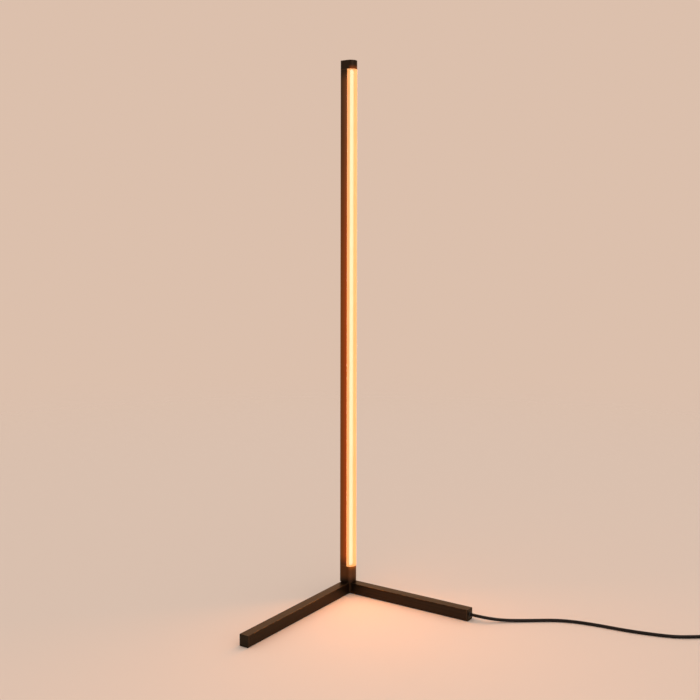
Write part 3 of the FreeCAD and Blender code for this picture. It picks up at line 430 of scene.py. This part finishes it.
def anodised(name, along, *nodes):
    """Dark anodised finish with its lines along one axis."""
    material, tree, shader, where = finish(name, metallic=1.0)
    squeeze = [1.0, 1.0, 1.0]
    squeeze["XYZ".index(along)] = line_squeeze
    lines = use_effect(tree, drawn_lines, Vector=where, Squeeze=squeeze, Lines=900.0)
    middle, half = middle_and_half(*nodes)
    edges = use_effect(tree, edge_wear_and_highlight, Vector=where, Middle=middle, Half=half, Reach=0.0012)
    settled = use_effect(tree, dust, Vector=where, Amount=0.12)
    colour = blend(tree, lines["Tone"], anodised_dark, anodised_light)
    # Lighter edges: partly wear, partly a painted highlight.
    colour = blend(tree, edges["Mask"], colour, worn_and_highlit_edge)
    colour = blend(tree, settled["Mask"], colour, dust_colour)
    # Painted shade: what faces the floor is darkened, in its colour and in its reflections.
    below = use_effect(tree, underside)["Mask"]
    tree.links.new(blend(tree, below, colour, painted_shade_below), shader["Base Color"])
    tree.links.new(blend(tree, below, grazing_tint, painted_shade_below), shader["Specular Tint"])
    tree.links.new(maths(tree, "MULTIPLY_ADD", lines["Tone"], 0.1, 0.36), shader["Roughness"])
    tree.links.new(relief(tree, lines["Height"], 0.00002), shader["Normal"])
    return material, tree, shader, where


wear("right_leg", anodised("anodised_right_leg", "X", "right_leg")[0])
wear("left_leg", anodised("anodised_left_leg", "Y", "left_leg")[0])

# %% [markdown]
# ### The metal beside the light
#
# Beside the milky cover, the channel's side is a warm red-brown that fades
# towards the back of the post, and the foot and the cap have the same warmth
# along a narrow rim.  It is painted glow.  It could be left to the lamps, but no
# light reaches those sides directly.  A weak emission that depends on the
# distance from the joint paints it, and stays with the lamp in every view.  It
# fades out over the last few centimetres at each end, so that no seam shows at
# the foot or the cap.

# %% Painted glow on the post's flat sides
cover_low, cover_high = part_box("diffuser")
joint_x = cover_high.x - (cover_high.y - cover_low.y) / 2      # where the half-round front starts
side_depth = joint_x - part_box("post_channel")[0].x
no_glow = (0.0, 0.0, 0.0, 1.0)
# colours of the painted glow: at the back and at the joint, high up and low down
back_high, joint_high = (0.036, 0.013, 0.003, 1.0), (0.175, 0.043, 0.012, 1.0)
back_low, joint_low = (0.138, 0.029, 0.002, 1.0), (0.39, 0.036, 0.0, 1.0)
redder_over = 0.50               # metres below the cover's top in which the glow turns redder
foot_level = 0.33                # how much of the glow is left on the foot
print("flat sides are %.1f mm deep" % (side_depth * 1000))


def side_painted_glow(tree, where):
    """Painted glow of the flat sides, as emission colour: strongest at the joint, weaker towards the post's
    ends.
    """
    place = node(tree, "ShaderNodeSeparateXYZ", {0: where}).outputs
    normal = node(tree, "ShaderNodeNewGeometry").outputs["Normal"]
    facing = maths(tree, "ABSOLUTE", node(tree, "ShaderNodeSeparateXYZ", {0: normal}).outputs[1])
    # share of the painted glow: full at the joint, none at the back of the flat side
    painted_glow_share = use_effect(tree, painted_joint_glow, Distance=maths(tree, "SUBTRACT", joint_x, place[0]),
                      Reach=side_depth, Falloff=2.2)["Mask"]
    painted_glow_share = maths(tree, "MULTIPLY", painted_glow_share, ramp(tree, place[2], cover_low.z - 0.012, cover_low.z + 0.022))
    high_up = blend(tree, painted_glow_share, back_high, joint_high)
    low_down = blend(tree, painted_glow_share, back_low, joint_low)
    colour = blend(tree, ramp(tree, place[2], cover_high.z, cover_high.z - redder_over), high_up, low_down)
    at_foot = maths(tree, "MAXIMUM", ramp(tree, place[2], cover_low.z - 0.010, cover_low.z + 0.024),
                    ramp(tree, place[2], cover_low.z - 0.030, cover_low.z - 0.014, 0.0, foot_level))
    at_cap = ramp(tree, place[2], cover_high.z + 0.001, cover_high.z - 0.026)
    amount = maths(tree, "MULTIPLY", ramp(tree, facing, 0.7, 0.95),
                   maths(tree, "MULTIPLY", at_foot, at_cap))
    return blend(tree, amount, no_glow, colour), place


channel, tree, shader, where = anodised("anodised_channel", "Z", "post_channel")
# painted glow on the flat sides, as emission
tree.links.new(side_painted_glow(tree, where)[0], shader["Emission Color"])
shader["Emission Strength"].default_value = 1.0
wear("post_channel", channel)

# %% Foot and cap with painted glow on their rims


def painted_rim_glow(node_name, joint_z, reach, falloff, warmest, plateau, fade_out):
    """Anodised end piece of the post with painted glow on its round front beside the cover's end."""
    material, tree, shader, where = anodised("anodised_" + node_name, "Z", node_name)
    sides, place = side_painted_glow(tree, where)
    away = maths(tree, "ABSOLUTE", maths(tree, "SUBTRACT", place[2], joint_z))
    painted_glow_share = use_effect(tree, painted_joint_glow, Distance=away, Reach=reach, Falloff=falloff)
    # painted glow on the round front: an even plateau near the cover's end, warmest right at it
    round_front = blend(tree, ramp(tree, away, fade_out, fade_out * 0.55), no_glow, plateau)
    round_front = blend(tree, painted_glow_share["Mask"], round_front, warmest)
    ahead = ramp(tree, place[0], joint_x + 0.0015, joint_x + 0.008)
    tree.links.new(blend(tree, ahead, sides, round_front), shader["Emission Color"])
    shader["Emission Strength"].default_value = 1.0
    wear(node_name, material)


painted_rim_glow("post_foot", cover_low.z, reach=0.012, falloff=2.5, warmest=(0.34, 0.075, 0.008, 1.0),
        plateau=(0.070, 0.021, 0.007, 1.0), fade_out=0.030)
painted_rim_glow("top_cap", cover_high.z, reach=0.009, falloff=1.6, warmest=(0.24, 0.045, 0.004, 1.0),
        plateau=no_glow, fade_out=0.010)

# %% [markdown]
# ### Plain and moulded parts
#
# The corner block is anodised like the bars but was never drawn through a die,
# and most other parts are moulded.  They have a fine even grain where the bars
# have lines.  One function makes the family, with the grain's size and depth
# as its values, so the pieces differ the way they do on a real lamp.

# %% Helper: a surface with a fine grain


def grained(name, nodes, dark, light, grain, depth, gloss, dusty=0.12, **plain):
    """A fine grain between two shades; a grain of 1000 is 1 mm, and depth is in metres."""
    material, tree, shader, where = finish(name, **plain)
    texture = use_effect(tree, fine_grain, Vector=where, Grain=grain)
    settled = use_effect(tree, dust, Vector=where, Amount=dusty)
    colour = blend(tree, texture["Tone"], dark, light)
    colour = blend(tree, settled["Mask"], colour, dust_colour)
    tree.links.new(colour, shader["Base Color"])
    tree.links.new(maths(tree, "MULTIPLY_ADD", texture["Tone"], 0.08, gloss - 0.04), shader["Roughness"])
    tree.links.new(relief(tree, texture["Height"], depth), shader["Normal"])
    wear(*nodes, material)


# %% Corner block, end caps, rubber and housings
grained("anodised_corner", ["corner_block"], anodised_dark, anodised_light,
        grain=2200.0, depth=0.00002, gloss=0.42, metallic=1.0, specular_tint=grazing_tint)
grained("end_cap_finish", ["right_end_cap", "left_end_cap"],
        (0.028, 0.023, 0.017, 1.0), (0.036, 0.030, 0.023, 1.0),
        grain=2600.0, depth=0.00002, gloss=0.45, metallic=1.0, specular_tint=grazing_tint)
grained("rubber", ["corner_pad", "right_pad", "left_pad", "cord_bush", "controller_boots", "adapter_boot"],
        (0.012, 0.011, 0.010, 1.0), (0.03, 0.028, 0.026, 1.0),
        grain=1500.0, depth=0.00003, gloss=0.75)
grained("moulded_housing", ["controller_base", "controller_top", "adapter_body", "adapter_face"],
        (0.013, 0.012, 0.011, 1.0), (0.024, 0.022, 0.020, 1.0),
        grain=1300.0, depth=0.00005, gloss=0.5)
grained("button_rubber", ["power_button", "colour_button", "brightness_button"],
        (0.10, 0.10, 0.10, 1.0), (0.14, 0.14, 0.14, 1.0),
        grain=2400.0, depth=0.00002, gloss=0.6)

# %% What lies inside: nylon, the lead's skin and the circuit board
grained("nylon", ["cord_anchor", "lead_plug", "lead_socket"],
        (0.62, 0.61, 0.57, 1.0), (0.72, 0.71, 0.67, 1.0),
        grain=900.0, depth=0.00001, gloss=0.4, dusty=0.0)
grained("lead_skin", ["leg_lead", "post_lead"],
        (0.62, 0.62, 0.60, 1.0), (0.7, 0.7, 0.68, 1.0),
        grain=1200.0, depth=0.00001, gloss=0.5, dusty=0.0)
grained("circuit_board", ["controller_board"],
        (0.01, 0.09, 0.035, 1.0), (0.015, 0.12, 0.05, 1.0),
        grain=600.0, depth=0.00001, gloss=0.35, dusty=0.0)

# %% [markdown]
# ### Steel screws, switches and plug pins
#
# Zinc-plated screws are plain metal with a slightly cloudy gloss.  The plug's
# pins are nickel-plated brass, warmer and smoother.  Here Metallic is 1 all
# over, and only the roughness and a hint of colour change.

# %% Plated metal


def plated(name, nodes, colour, gloss):
    """Bare plated metal, a little cloudy."""
    material, tree, shader, where = finish(name, metallic=1.0)
    texture = use_effect(tree, fine_grain, Vector=where, Grain=1800.0, Clouds=300.0)
    darker = tuple(0.8 * c for c in colour[:3]) + (1.0,)
    tree.links.new(blend(tree, texture["Tone"], colour, darker), shader["Base Color"])
    tree.links.new(maths(tree, "MULTIPLY_ADD", texture["Tone"], 0.15, gloss), shader["Roughness"])
    wear(*nodes, material)


plated("zinc_steel", ["leg_screws", "foot_screws", "post_screws", "controller_screws", "snap_switches"],
       (0.62, 0.63, 0.64, 1.0), gloss=0.25)
plated("plug_nickel", ["adapter_pins"], (0.72, 0.68, 0.60, 1.0), gloss=0.15)

# %% [markdown]
# ### The light and its milky cover
#
# Behind the cover, a strip of tiny lights lies under one bead of yellowish
# gel.  From the side the bead shows through the cover as a pale band, with a
# deeper orange on each side of it.  A painted gradient on the cover would put
# that band in the wrong place from every other side.  So the bead is its own
# glowing piece, and the cover lets part of it through, blurred, and adds its
# own even glow.

# %% Glowing bead
bead, tree, shader, where = finish("glowing_bead", base_color=(0.9, 0.75, 0.4, 1.0), roughness=0.4,
                                   emission_strength=2.2)
spots = node(tree, "ShaderNodeTexNoise", {"Vector": where, "Scale": 300.0, "Detail": 1.0}).outputs[0]
glowing = blend(tree, ramp(tree, spots, 0.3, 0.7), (1.0, 0.77, 0.97, 1.0), (1.0, 0.81, 1.0, 1.0))
tree.links.new(glowing, shader["Emission Color"])
wear("light_bead", bead)

# %% The rounded ends of the gel bead
bead_low, bead_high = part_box("light_bead")
strip_low, strip_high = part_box("led_strip")
gel_past = 0.0005                # the gel wraps round the strip's end
gel_steps = 14                   # sides of the gel's rounded outline
gel_rings = 5                    # steps from the bead's end to the tip
gel_side = 0.45                  # straight share of the outline's height
gel_straight = 0.4               # share of the length that goes on evenly


def gel_section(shrink):
    """Outline of the bead across the strip: straight sides and a round crown, as (x, y)."""
    half = (bead_high.y - bead_low.y) / 2 * shrink
    tall = (bead_high.x - bead_low.x) * shrink
    side = tall * gel_side
    turns = [math.pi * k / gel_steps for k in range(gel_steps + 1)]
    arch = [(side + (tall - side) * math.sin(turn), -half * math.cos(turn)) for turn in turns]
    return [(bead_low.x + h, w) for h, w in [(0.0, -half)] + arch + [(0.0, half)]]


def gel_ends():
    """Both ends of the gel as one mesh that goes on from the bead and closes in a dome."""
    work = bmesh.new()
    for start, stop in ((bead_low.z, strip_low.z - gel_past), (bead_high.z, strip_high.z + gel_past)):
        rings = []
        for k in range(gel_rings + 1):
            turn = math.pi / 2 * k / gel_rings
            reach = gel_straight * k / gel_rings + (1 - gel_straight) * math.sin(turn)
            z = start + (stop - start) * reach
            shrink = 0.5 + 0.5 * math.cos(turn * 0.8)
            rings.append([work.verts.new((x, y, z)) for x, y in gel_section(shrink)])
        for first, second in zip(rings, rings[1:]):
            for k in range(len(first)):
                after = (k + 1) % len(first)
                work.faces.new((first[k], first[after], second[after], second[k]))
        work.faces.new(rings[0])
        work.faces.new(rings[-1])
    bmesh.ops.recalc_face_normals(work, faces=work.faces)
    made = as_piece(work, "gel_ends", bead)
    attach(made, "lamp")


gel_ends()

# %% Strip and cover
grained("strip_base", ["led_strip"], (0.72, 0.72, 0.70, 1.0), (0.78, 0.78, 0.76, 1.0),
        grain=900.0, depth=0.00001, gloss=0.4, dusty=0.0)

cover_root = 0.0016              # depth of the deeper orange beside the joint
cover, tree, shader, where = finish("milky_cover", base_color=(0.62, 0.45, 0.35, 1.0), roughness=0.38,
                                    ior=1.3, transmission_weight=0.7, emission_strength=0.5)
place = node(tree, "ShaderNodeSeparateXYZ", {0: where}).outputs
from_joint = ramp(tree, place[0], joint_x, joint_x + cover_root)
haze = use_effect(tree, fine_grain, Vector=where, Grain=900.0, Clouds=30.0)
glow = blend(tree, haze["Tone"], (1.0, 0.42, 0.09, 1.0), (1.0, 0.45, 0.11, 1.0))
glow = blend(tree, from_joint, (0.75, 0.25, 0.03, 1.0), glow)
tree.links.new(glow, shader["Emission Color"])
wear("diffuser", cover)
print("cover from %.3f to %.3f m" % (cover_low.z, cover_high.z))

# %% [markdown]
# ### Cord, strap and what is left
#
# The cord is soft black plastic with a satin sheen.  The strap round the coil
# is woven nylon with a fuzzy face.

# %% Cord
black_cord, tree, shader, where = finish("black_cord", specular_ior_level=0.22)
texture = use_effect(tree, fine_grain, Vector=where, Grain=1600.0, Clouds=90.0)
settled = use_effect(tree, dust, Vector=where, Amount=0.1)
colour = blend(tree, texture["Tone"], (0.0035, 0.0025, 0.002, 1.0), (0.007, 0.005, 0.004, 1.0))
tree.links.new(blend(tree, settled["Mask"], colour, dust_colour), shader["Base Color"])
tree.links.new(maths(tree, "MULTIPLY_ADD", texture["Tone"], 0.12, 0.36), shader["Roughness"])
tree.links.new(relief(tree, texture["Height"], 0.00001), shader["Normal"])
for cord in (floor_cord, coiled_cord):
    cord.data.materials.append(black_cord)
wear("cord_inner_end", black_cord)

# %% Strap
woven, tree, shader, where = finish("woven_strap", roughness=0.85, sheen_weight=0.4)
warp, weft = (node(tree, "ShaderNodeTexWave", {"Vector": where, "Scale": 700.0},
                   bands_direction=way).outputs[1] for way in "XY")
threads = maths(tree, "MULTIPLY", warp, weft)
colour = blend(tree, threads, (0.010, 0.010, 0.012, 1.0), (0.035, 0.035, 0.04, 1.0))
tree.links.new(colour, shader["Base Color"])
tree.links.new(relief(tree, threads, 0.0002), shader["Normal"])
wear("coil_strap", woven)
bare = sorted(set(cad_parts) - set(dressed))
print("dressed", len(dressed), "of", len(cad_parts), "still bare", bare)

# %% [markdown]
# ## Small parts that repeat
#
# The light strip carries a row of resistors along each edge, and the strap's
# face is a field of little loops.  Placing hundreds of them by hand, or in a
# Python loop, would be slow to change.  A Geometry Nodes tree does it from a
# few named sizes: it makes the points, sets one small shape on each, turns the
# copies into real faces and gives them their material.  The result is taken
# out as a plain mesh.

# %% Helpers: a tree of geometry nodes, and its result as a mesh


def start_tree(name, inputs):
    """A geometry tree with float inputs, a material input and one geometry output."""
    tree = bpy.data.node_groups.new(name, "GeometryNodeTree")
    for label in inputs:
        tree.interface.new_socket(label, in_out="INPUT", socket_type="NodeSocketFloat")
    tree.interface.new_socket("Finish", in_out="INPUT", socket_type="NodeSocketMaterial")
    tree.interface.new_socket("Geometry", in_out="OUTPUT", socket_type="NodeSocketGeometry")
    return tree, tree.nodes.new("NodeGroupInput").outputs


def close_tree(tree, copies, material):
    """Realize Instances and Set Material, then the output."""
    real = node(tree, "GeometryNodeRealizeInstances", {0: copies}).outputs[0]
    dressed_copies = node(tree, "GeometryNodeSetMaterial", {"Geometry": real, "Material": material})
    node(tree, "NodeGroupOutput", {0: dressed_copies.outputs[0]})


def grow(name, tree, values):
    """Runs a tree with its named inputs and keeps the result as a plain mesh piece of the lamp."""
    holder = bpy.data.objects.new(name, bpy.data.meshes.new(name))
    scene.collection.objects.link(holder)
    modifier = holder.modifiers.new("tree", "NODES")
    modifier.node_group = tree
    for item in tree.interface.items_tree:
        if item.in_out == "INPUT":
            modifier[item.identifier] = values[item.name]
    evaluated = holder.evaluated_get(bpy.context.evaluated_depsgraph_get())
    mesh = bpy.data.meshes.new_from_object(evaluated)
    holder.modifiers.clear()
    mesh.materials.clear()           # the tree leaves an empty slot before its own
    mesh.materials.append(values["Finish"])
    mesh.polygons.foreach_set("material_index", [0] * len(mesh.polygons))
    holder.data = mesh
    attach(holder, "lamp")
    print(name, "has", len(mesh.polygons), "faces")


# %% Tree: one box in a row along each edge of the strip
row_tree, given = start_tree("strip_row", ("Front", "Side", "Low", "High", "Count", "Width", "Length",
                                           "Height"))
size = node(row_tree, "ShaderNodeCombineXYZ",
            {0: given["Height"], 1: given["Width"], 2: given["Length"]}).outputs[0]
resistor = node(row_tree, "GeometryNodeMeshCube", {"Size": size}).outputs["Mesh"]
both = row_tree.nodes.new("GeometryNodeJoinGeometry")
for edge in (-1.0, 1.0):
    aside = maths(row_tree, "MULTIPLY", given["Side"], edge)
    ends = [node(row_tree, "ShaderNodeCombineXYZ",
                 {0: given["Front"], 1: aside, 2: given[end]}).outputs[0] for end in ("Low", "High")]
    row = node(row_tree, "GeometryNodeMeshLine",
               {"Count": given["Count"], "Start Location": ends[0], "Offset": ends[1]},
               mode="END_POINTS").outputs[0]
    copies = node(row_tree, "GeometryNodeInstanceOnPoints", {"Points": row, "Instance": resistor}).outputs[0]
    row_tree.links.new(copies, both.inputs[0])
close_tree(row_tree, both.outputs[0], given["Finish"])
print("tree strip_row", len(row_tree.nodes), "nodes")

# %% Resistors along the light strip
resistor_black, tree, shader, where = finish("resistor_black", roughness=0.35)
speck = node(tree, "ShaderNodeTexNoise", {"Vector": where, "Scale": 4000.0}).outputs[0]
tree.links.new(blend(tree, speck, (0.01, 0.01, 0.01, 1.0), (0.05, 0.05, 0.05, 1.0)), shader["Base Color"])

resistor_height, resistor_width, resistor_length = 0.00025, 0.0006, 0.0012
resistor_aside = 0.0045          # from the strip's middle line to a row
resistor_inset = 0.01            # from the strip's ends to the first and the last one
grow("strip_resistors", row_tree,
     {"Front": strip_high.x + resistor_height / 2, "Side": resistor_aside,
      "Low": strip_low.z + resistor_inset, "High": strip_high.z - resistor_inset, "Count": 60.0,
      "Width": resistor_width, "Length": resistor_length, "Height": resistor_height,
      "Finish": resistor_black})

# %% The strap's flat top
strap_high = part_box("coil_strap")[1]
same_height = 0.00001
strap_top = [v.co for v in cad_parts["coil_strap"].data.vertices if v.co.z > strap_high.z - same_height]
top_low = Vector((min(v.x for v in strap_top), min(v.y for v in strap_top), strap_high.z))
top_high = Vector((max(v.x for v in strap_top), max(v.y for v in strap_top), strap_high.z))
top_middle = (top_low + top_high) / 2
print("strap's flat top", [round(v, 4) for v in top_high - top_low])

# %% Tree: little cones that lean at random on a flat patch
loop_tree, given = start_tree("strap_loops", ("Across", "Along", "Density", "Height", "Thickness"))
patch = node(loop_tree, "GeometryNodeMeshGrid", {"Size X": given["Across"], "Size Y": given["Along"],
                                                 "Vertices X": 2, "Vertices Y": 2}).outputs["Mesh"]
spots = node(loop_tree, "GeometryNodeDistributePointsOnFaces",
             {"Mesh": patch, "Density": given["Density"], "Seed": 7}).outputs["Points"]
tip = maths(loop_tree, "MULTIPLY", given["Thickness"], 0.4)
tuft = node(loop_tree, "GeometryNodeMeshCone",
            {"Vertices": 4, "Radius Top": tip, "Radius Bottom": given["Thickness"],
             "Depth": given["Height"]}).outputs["Mesh"]
lean = node(loop_tree, "FunctionNodeRandomValue",
            {"Min": (-0.9, -0.9, 0.0), "Max": (0.9, 0.9, 6.283), "Seed": 3},
            data_type="FLOAT_VECTOR").outputs[0]
loops = node(loop_tree, "GeometryNodeInstanceOnPoints",
             {"Points": spots, "Instance": tuft, "Rotation": lean}).outputs[0]
loops = node(loop_tree, "GeometryNodeRealizeInstances", {0: loops}).outputs[0]
loops = node(loop_tree, "GeometryNodeTransform", {"Geometry": loops, "Translation": top_middle}).outputs[0]
close_tree(loop_tree, loops, given["Finish"])
print("tree strap_loops", len(loop_tree.nodes), "nodes")

# %% Loops on the strap's upper face
loop_margin = 0.0008             # both edges together
loop_height, loop_thickness = 0.0004, 0.00009
loops_per_area = 6.0e6           # in a square metre, so 6 in a square millimetre
across, along = ((top_high - top_low)[k] - loop_margin for k in (0, 1))
grow("strap_loops", loop_tree,
     {"Across": across, "Along": along, "Density": loops_per_area, "Height": loop_height,
      "Thickness": loop_thickness, "Finish": woven})

# %% [markdown]
# ## Signs on the buttons
#
# The buttons of such a controller usually carry small printed signs.  These
# are the plain kind: a ring with a bar for on and off, three dots for the
# colour, and a disc with rays for the brightness.  A picture on the rubber
# would blur up close, so each sign is a very thin solid print in the button's
# finger recess, and moves with its button.

# %% Ink
ink, tree, shader, where = finish("button_ink", roughness=0.55)
worn = use_effect(tree, fine_grain, Vector=where, Grain=3000.0, Clouds=900.0)["Tone"]
tree.links.new(blend(tree, worn, (0.72, 0.72, 0.70, 1.0), (0.60, 0.60, 0.58, 1.0)), shader["Base Color"])

# %% Helpers: an arc, and a thin print from flat outlines
recess_depth = 0.0003            # floor of the finger recess, below the button's rim
print_height = 0.00008           # above that floor, and as much below it


def arc(radius, start, stop, steps):
    """Points of an arc, in degrees."""
    turns = [math.radians(start + (stop - start) * k / steps) for k in range(steps + 1)]
    return [(radius * math.cos(t), radius * math.sin(t)) for t in turns]


def sign(button, outlines):
    """Closed outlines as one thin print in the middle of a button, riding with it."""
    low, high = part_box(button)
    middle = (low + high) / 2
    floor_z = high.z - recess_depth
    work = bmesh.new()
    for outline in outlines:
        below, above = [[work.verts.new((middle.x + x, middle.y + y, z)) for x, y in outline]
                        for z in (floor_z - print_height, floor_z + print_height)]
        work.faces.new(above)
        work.faces.new(below[::-1])
        for k in range(len(outline)):
            after = (k + 1) % len(outline)
            work.faces.new((below[k], below[after], above[after], above[k]))
    bmesh.ops.recalc_face_normals(work, faces=work.faces)
    made = as_piece(work, button + "_sign", ink)
    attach(made, button)


print("signs stand %.2f mm proud" % (print_height * 1000))

# %% On and off: a ring with a gap, and a bar in the gap
ring_outer, ring_inner = 0.0021, 0.0016
ring_gap = 35                    # degrees, on each side of the bar
gap_end, gap_start = 90 + ring_gap, 450 - ring_gap
ring = arc(ring_outer, gap_end, gap_start, 24) + arc(ring_inner, gap_start, gap_end, 24)
bar_half, bar_low, bar_high = 0.00025, 0.0007, 0.0025
bar = [(-bar_half, bar_low), (bar_half, bar_low), (bar_half, bar_high), (-bar_half, bar_high)]
sign("power_button", [ring, bar])

# %% Colour: three dots
dot_radius, dot_ring = 0.00065, 0.0014
dots = [[(x + dot_ring * math.cos(t), y + dot_ring * math.sin(t)) for x, y in arc(dot_radius, 0, 345, 23)]
        for t in (math.pi / 2, math.pi * 7 / 6, math.pi * 11 / 6)]
sign("colour_button", dots)

# %% Brightness: a disc with eight rays
disc_radius, ray_from, ray_to, ray_half = 0.00095, 0.0014, 0.0023, 0.00017
rays = []
for k in range(8):
    out = Vector((math.cos(k * math.pi / 4), math.sin(k * math.pi / 4)))
    beside = Vector((-out.y, out.x)) * ray_half
    rays.append([out * ray_from - beside, out * ray_to - beside,
                 out * ray_to + beside, out * ray_from + beside])
sign("brightness_button", [arc(disc_radius, 0, 345, 23)] + rays)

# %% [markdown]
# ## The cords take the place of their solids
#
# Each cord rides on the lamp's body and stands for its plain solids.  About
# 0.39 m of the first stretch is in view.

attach(floor_cord, "lamp")
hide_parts("cord_run")
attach(coiled_cord, "lamp")
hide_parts("cord_to_coil", "cord_coil", "cord_to_adapter")
print("declared", floor_cord.name, "and", coiled_cord.name)

# %% [markdown]
# ## Floor, light and backdrop
#
# The floor is a wide pale disc that thins out into a backdrop of the same
# colour, so there is no horizon line.  An even world lights everything at a
# plain level, where a colour renders about as it is written.  Two soft lamps
# are there only for what the metal mirrors: one in front, for the highlight on
# the round parts, and one behind, for the tops of the legs.  The lamp's own
# brightness is more than a picture can hold, so two narrow warm lights in
# front of the cover carry its glow to the floor and the legs.

# %% Floor disc
floor_colour = (0.850, 0.655, 0.542, 1.0)
backdrop_colour = (0.715, 0.527, 0.415, 1.0)
floor_radius = 6.0
fade_from, fade_to = 0.9, 3.2


def floor_disc():
    """A flat disc just under the lamp's pads."""
    work = bmesh.new()
    bmesh.ops.create_circle(work, cap_ends=True, segments=96, radius=floor_radius)
    return as_piece(work, "floor")


floor = floor_disc()
floor_finish, tree, shader, where = finish("floor", base_color=floor_colour, roughness=0.9,
                                           specular_ior_level=0.2)
distance = node(tree, "ShaderNodeVectorMath", {0: where}, operation="LENGTH").outputs["Value"]
clear = node(tree, "ShaderNodeBsdfTransparent").outputs[0]
output = tree.nodes["Material Output"]
thinned = node(tree, "ShaderNodeMixShader", {0: ramp(tree, distance, fade_from, fade_to),
                                             1: tree.nodes["Principled BSDF"].outputs[0], 2: clear})
tree.links.new(thinned.outputs[0], output.inputs["Surface"])
floor.data.materials.append(floor_finish)

# %% World: even light, and the backdrop's colour where it is seen
world = bpy.data.worlds.new("world")
scene.world = world
world.use_nodes = True
tree = world.node_tree
tree.nodes.clear()
rays = node(tree, "ShaderNodeLightPath").outputs
seen = maths(tree, "MAXIMUM", rays["Is Camera Ray"], maths(tree, "MAXIMUM", rays["Is Glossy Ray"],
                                                          rays["Is Transmission Ray"]))
world_light = node(tree, "ShaderNodeBackground", {"Color": (1.0, 0.98, 0.95, 1.0), "Strength": 0.82})
world_seen = node(tree, "ShaderNodeBackground", {"Color": backdrop_colour, "Strength": 1.0})
mixed = node(tree, "ShaderNodeMixShader", {0: seen, 1: world_light.outputs[0], 2: world_seen.outputs[0]})
node(tree, "ShaderNodeOutputWorld", {"Surface": mixed.outputs[0]})
print("world strength %.2f" % world_light.inputs["Strength"].default_value)

# %% Lamps


def area_light(name, place, target, size, power, colour):
    """A rectangular lamp that looks at a point."""
    data = bpy.data.lights.new(name, "AREA")
    data.shape = "RECTANGLE"
    data.size, data.size_y = size
    data.energy = power
    data.color = colour
    lamp = bpy.data.objects.new(name, data)
    scene.collection.objects.link(lamp)
    towards = Vector(target) - Vector(place)
    lamp.matrix_world = Matrix.Translation(place) @ towards.to_track_quat("-Z", "Y").to_matrix().to_4x4()
    print("lamp", name, power, "W")
    return lamp


key = area_light("key", place=(1.9, -1.05, 2.2), target=(0.1, 0, 0.3), size=(0.8, 0.8),
                 power=13.0, colour=(1.0, 0.82, 0.70))
key.visible_diffuse = False
sheen = area_light("sheen", place=(-1.4, 2.1, 1.1), target=(0.1, 0, 0.0), size=(2.0, 1.2),
                   power=5.0, colour=(1.0, 0.62, 0.46))
sheen.visible_camera = False
sheen.visible_diffuse = False

# %% The lamp's own glow
glow_colour = (1.0, 0.34, 0.03)
glow_middle = (cover_low.z + cover_high.z) / 2
glow_height = cover_high.z - cover_low.z - 0.02
glow_width = 0.014
glow_radius = 0.0128             # from the middle of the half-round, just in front of the cover
for name, angle, power in (("glow_left", -math.pi / 4, 1.65), ("glow_right", math.pi / 4, 0.3)):
    out = Vector((math.cos(angle), math.sin(angle), 0))
    start = Vector((joint_x, 0, glow_middle)) + out * glow_radius
    glow_lamp = area_light(name, start, start + out, (glow_width, glow_height), power, glow_colour)
    glow_lamp.visible_camera = False
    glow_lamp.visible_transmission = False
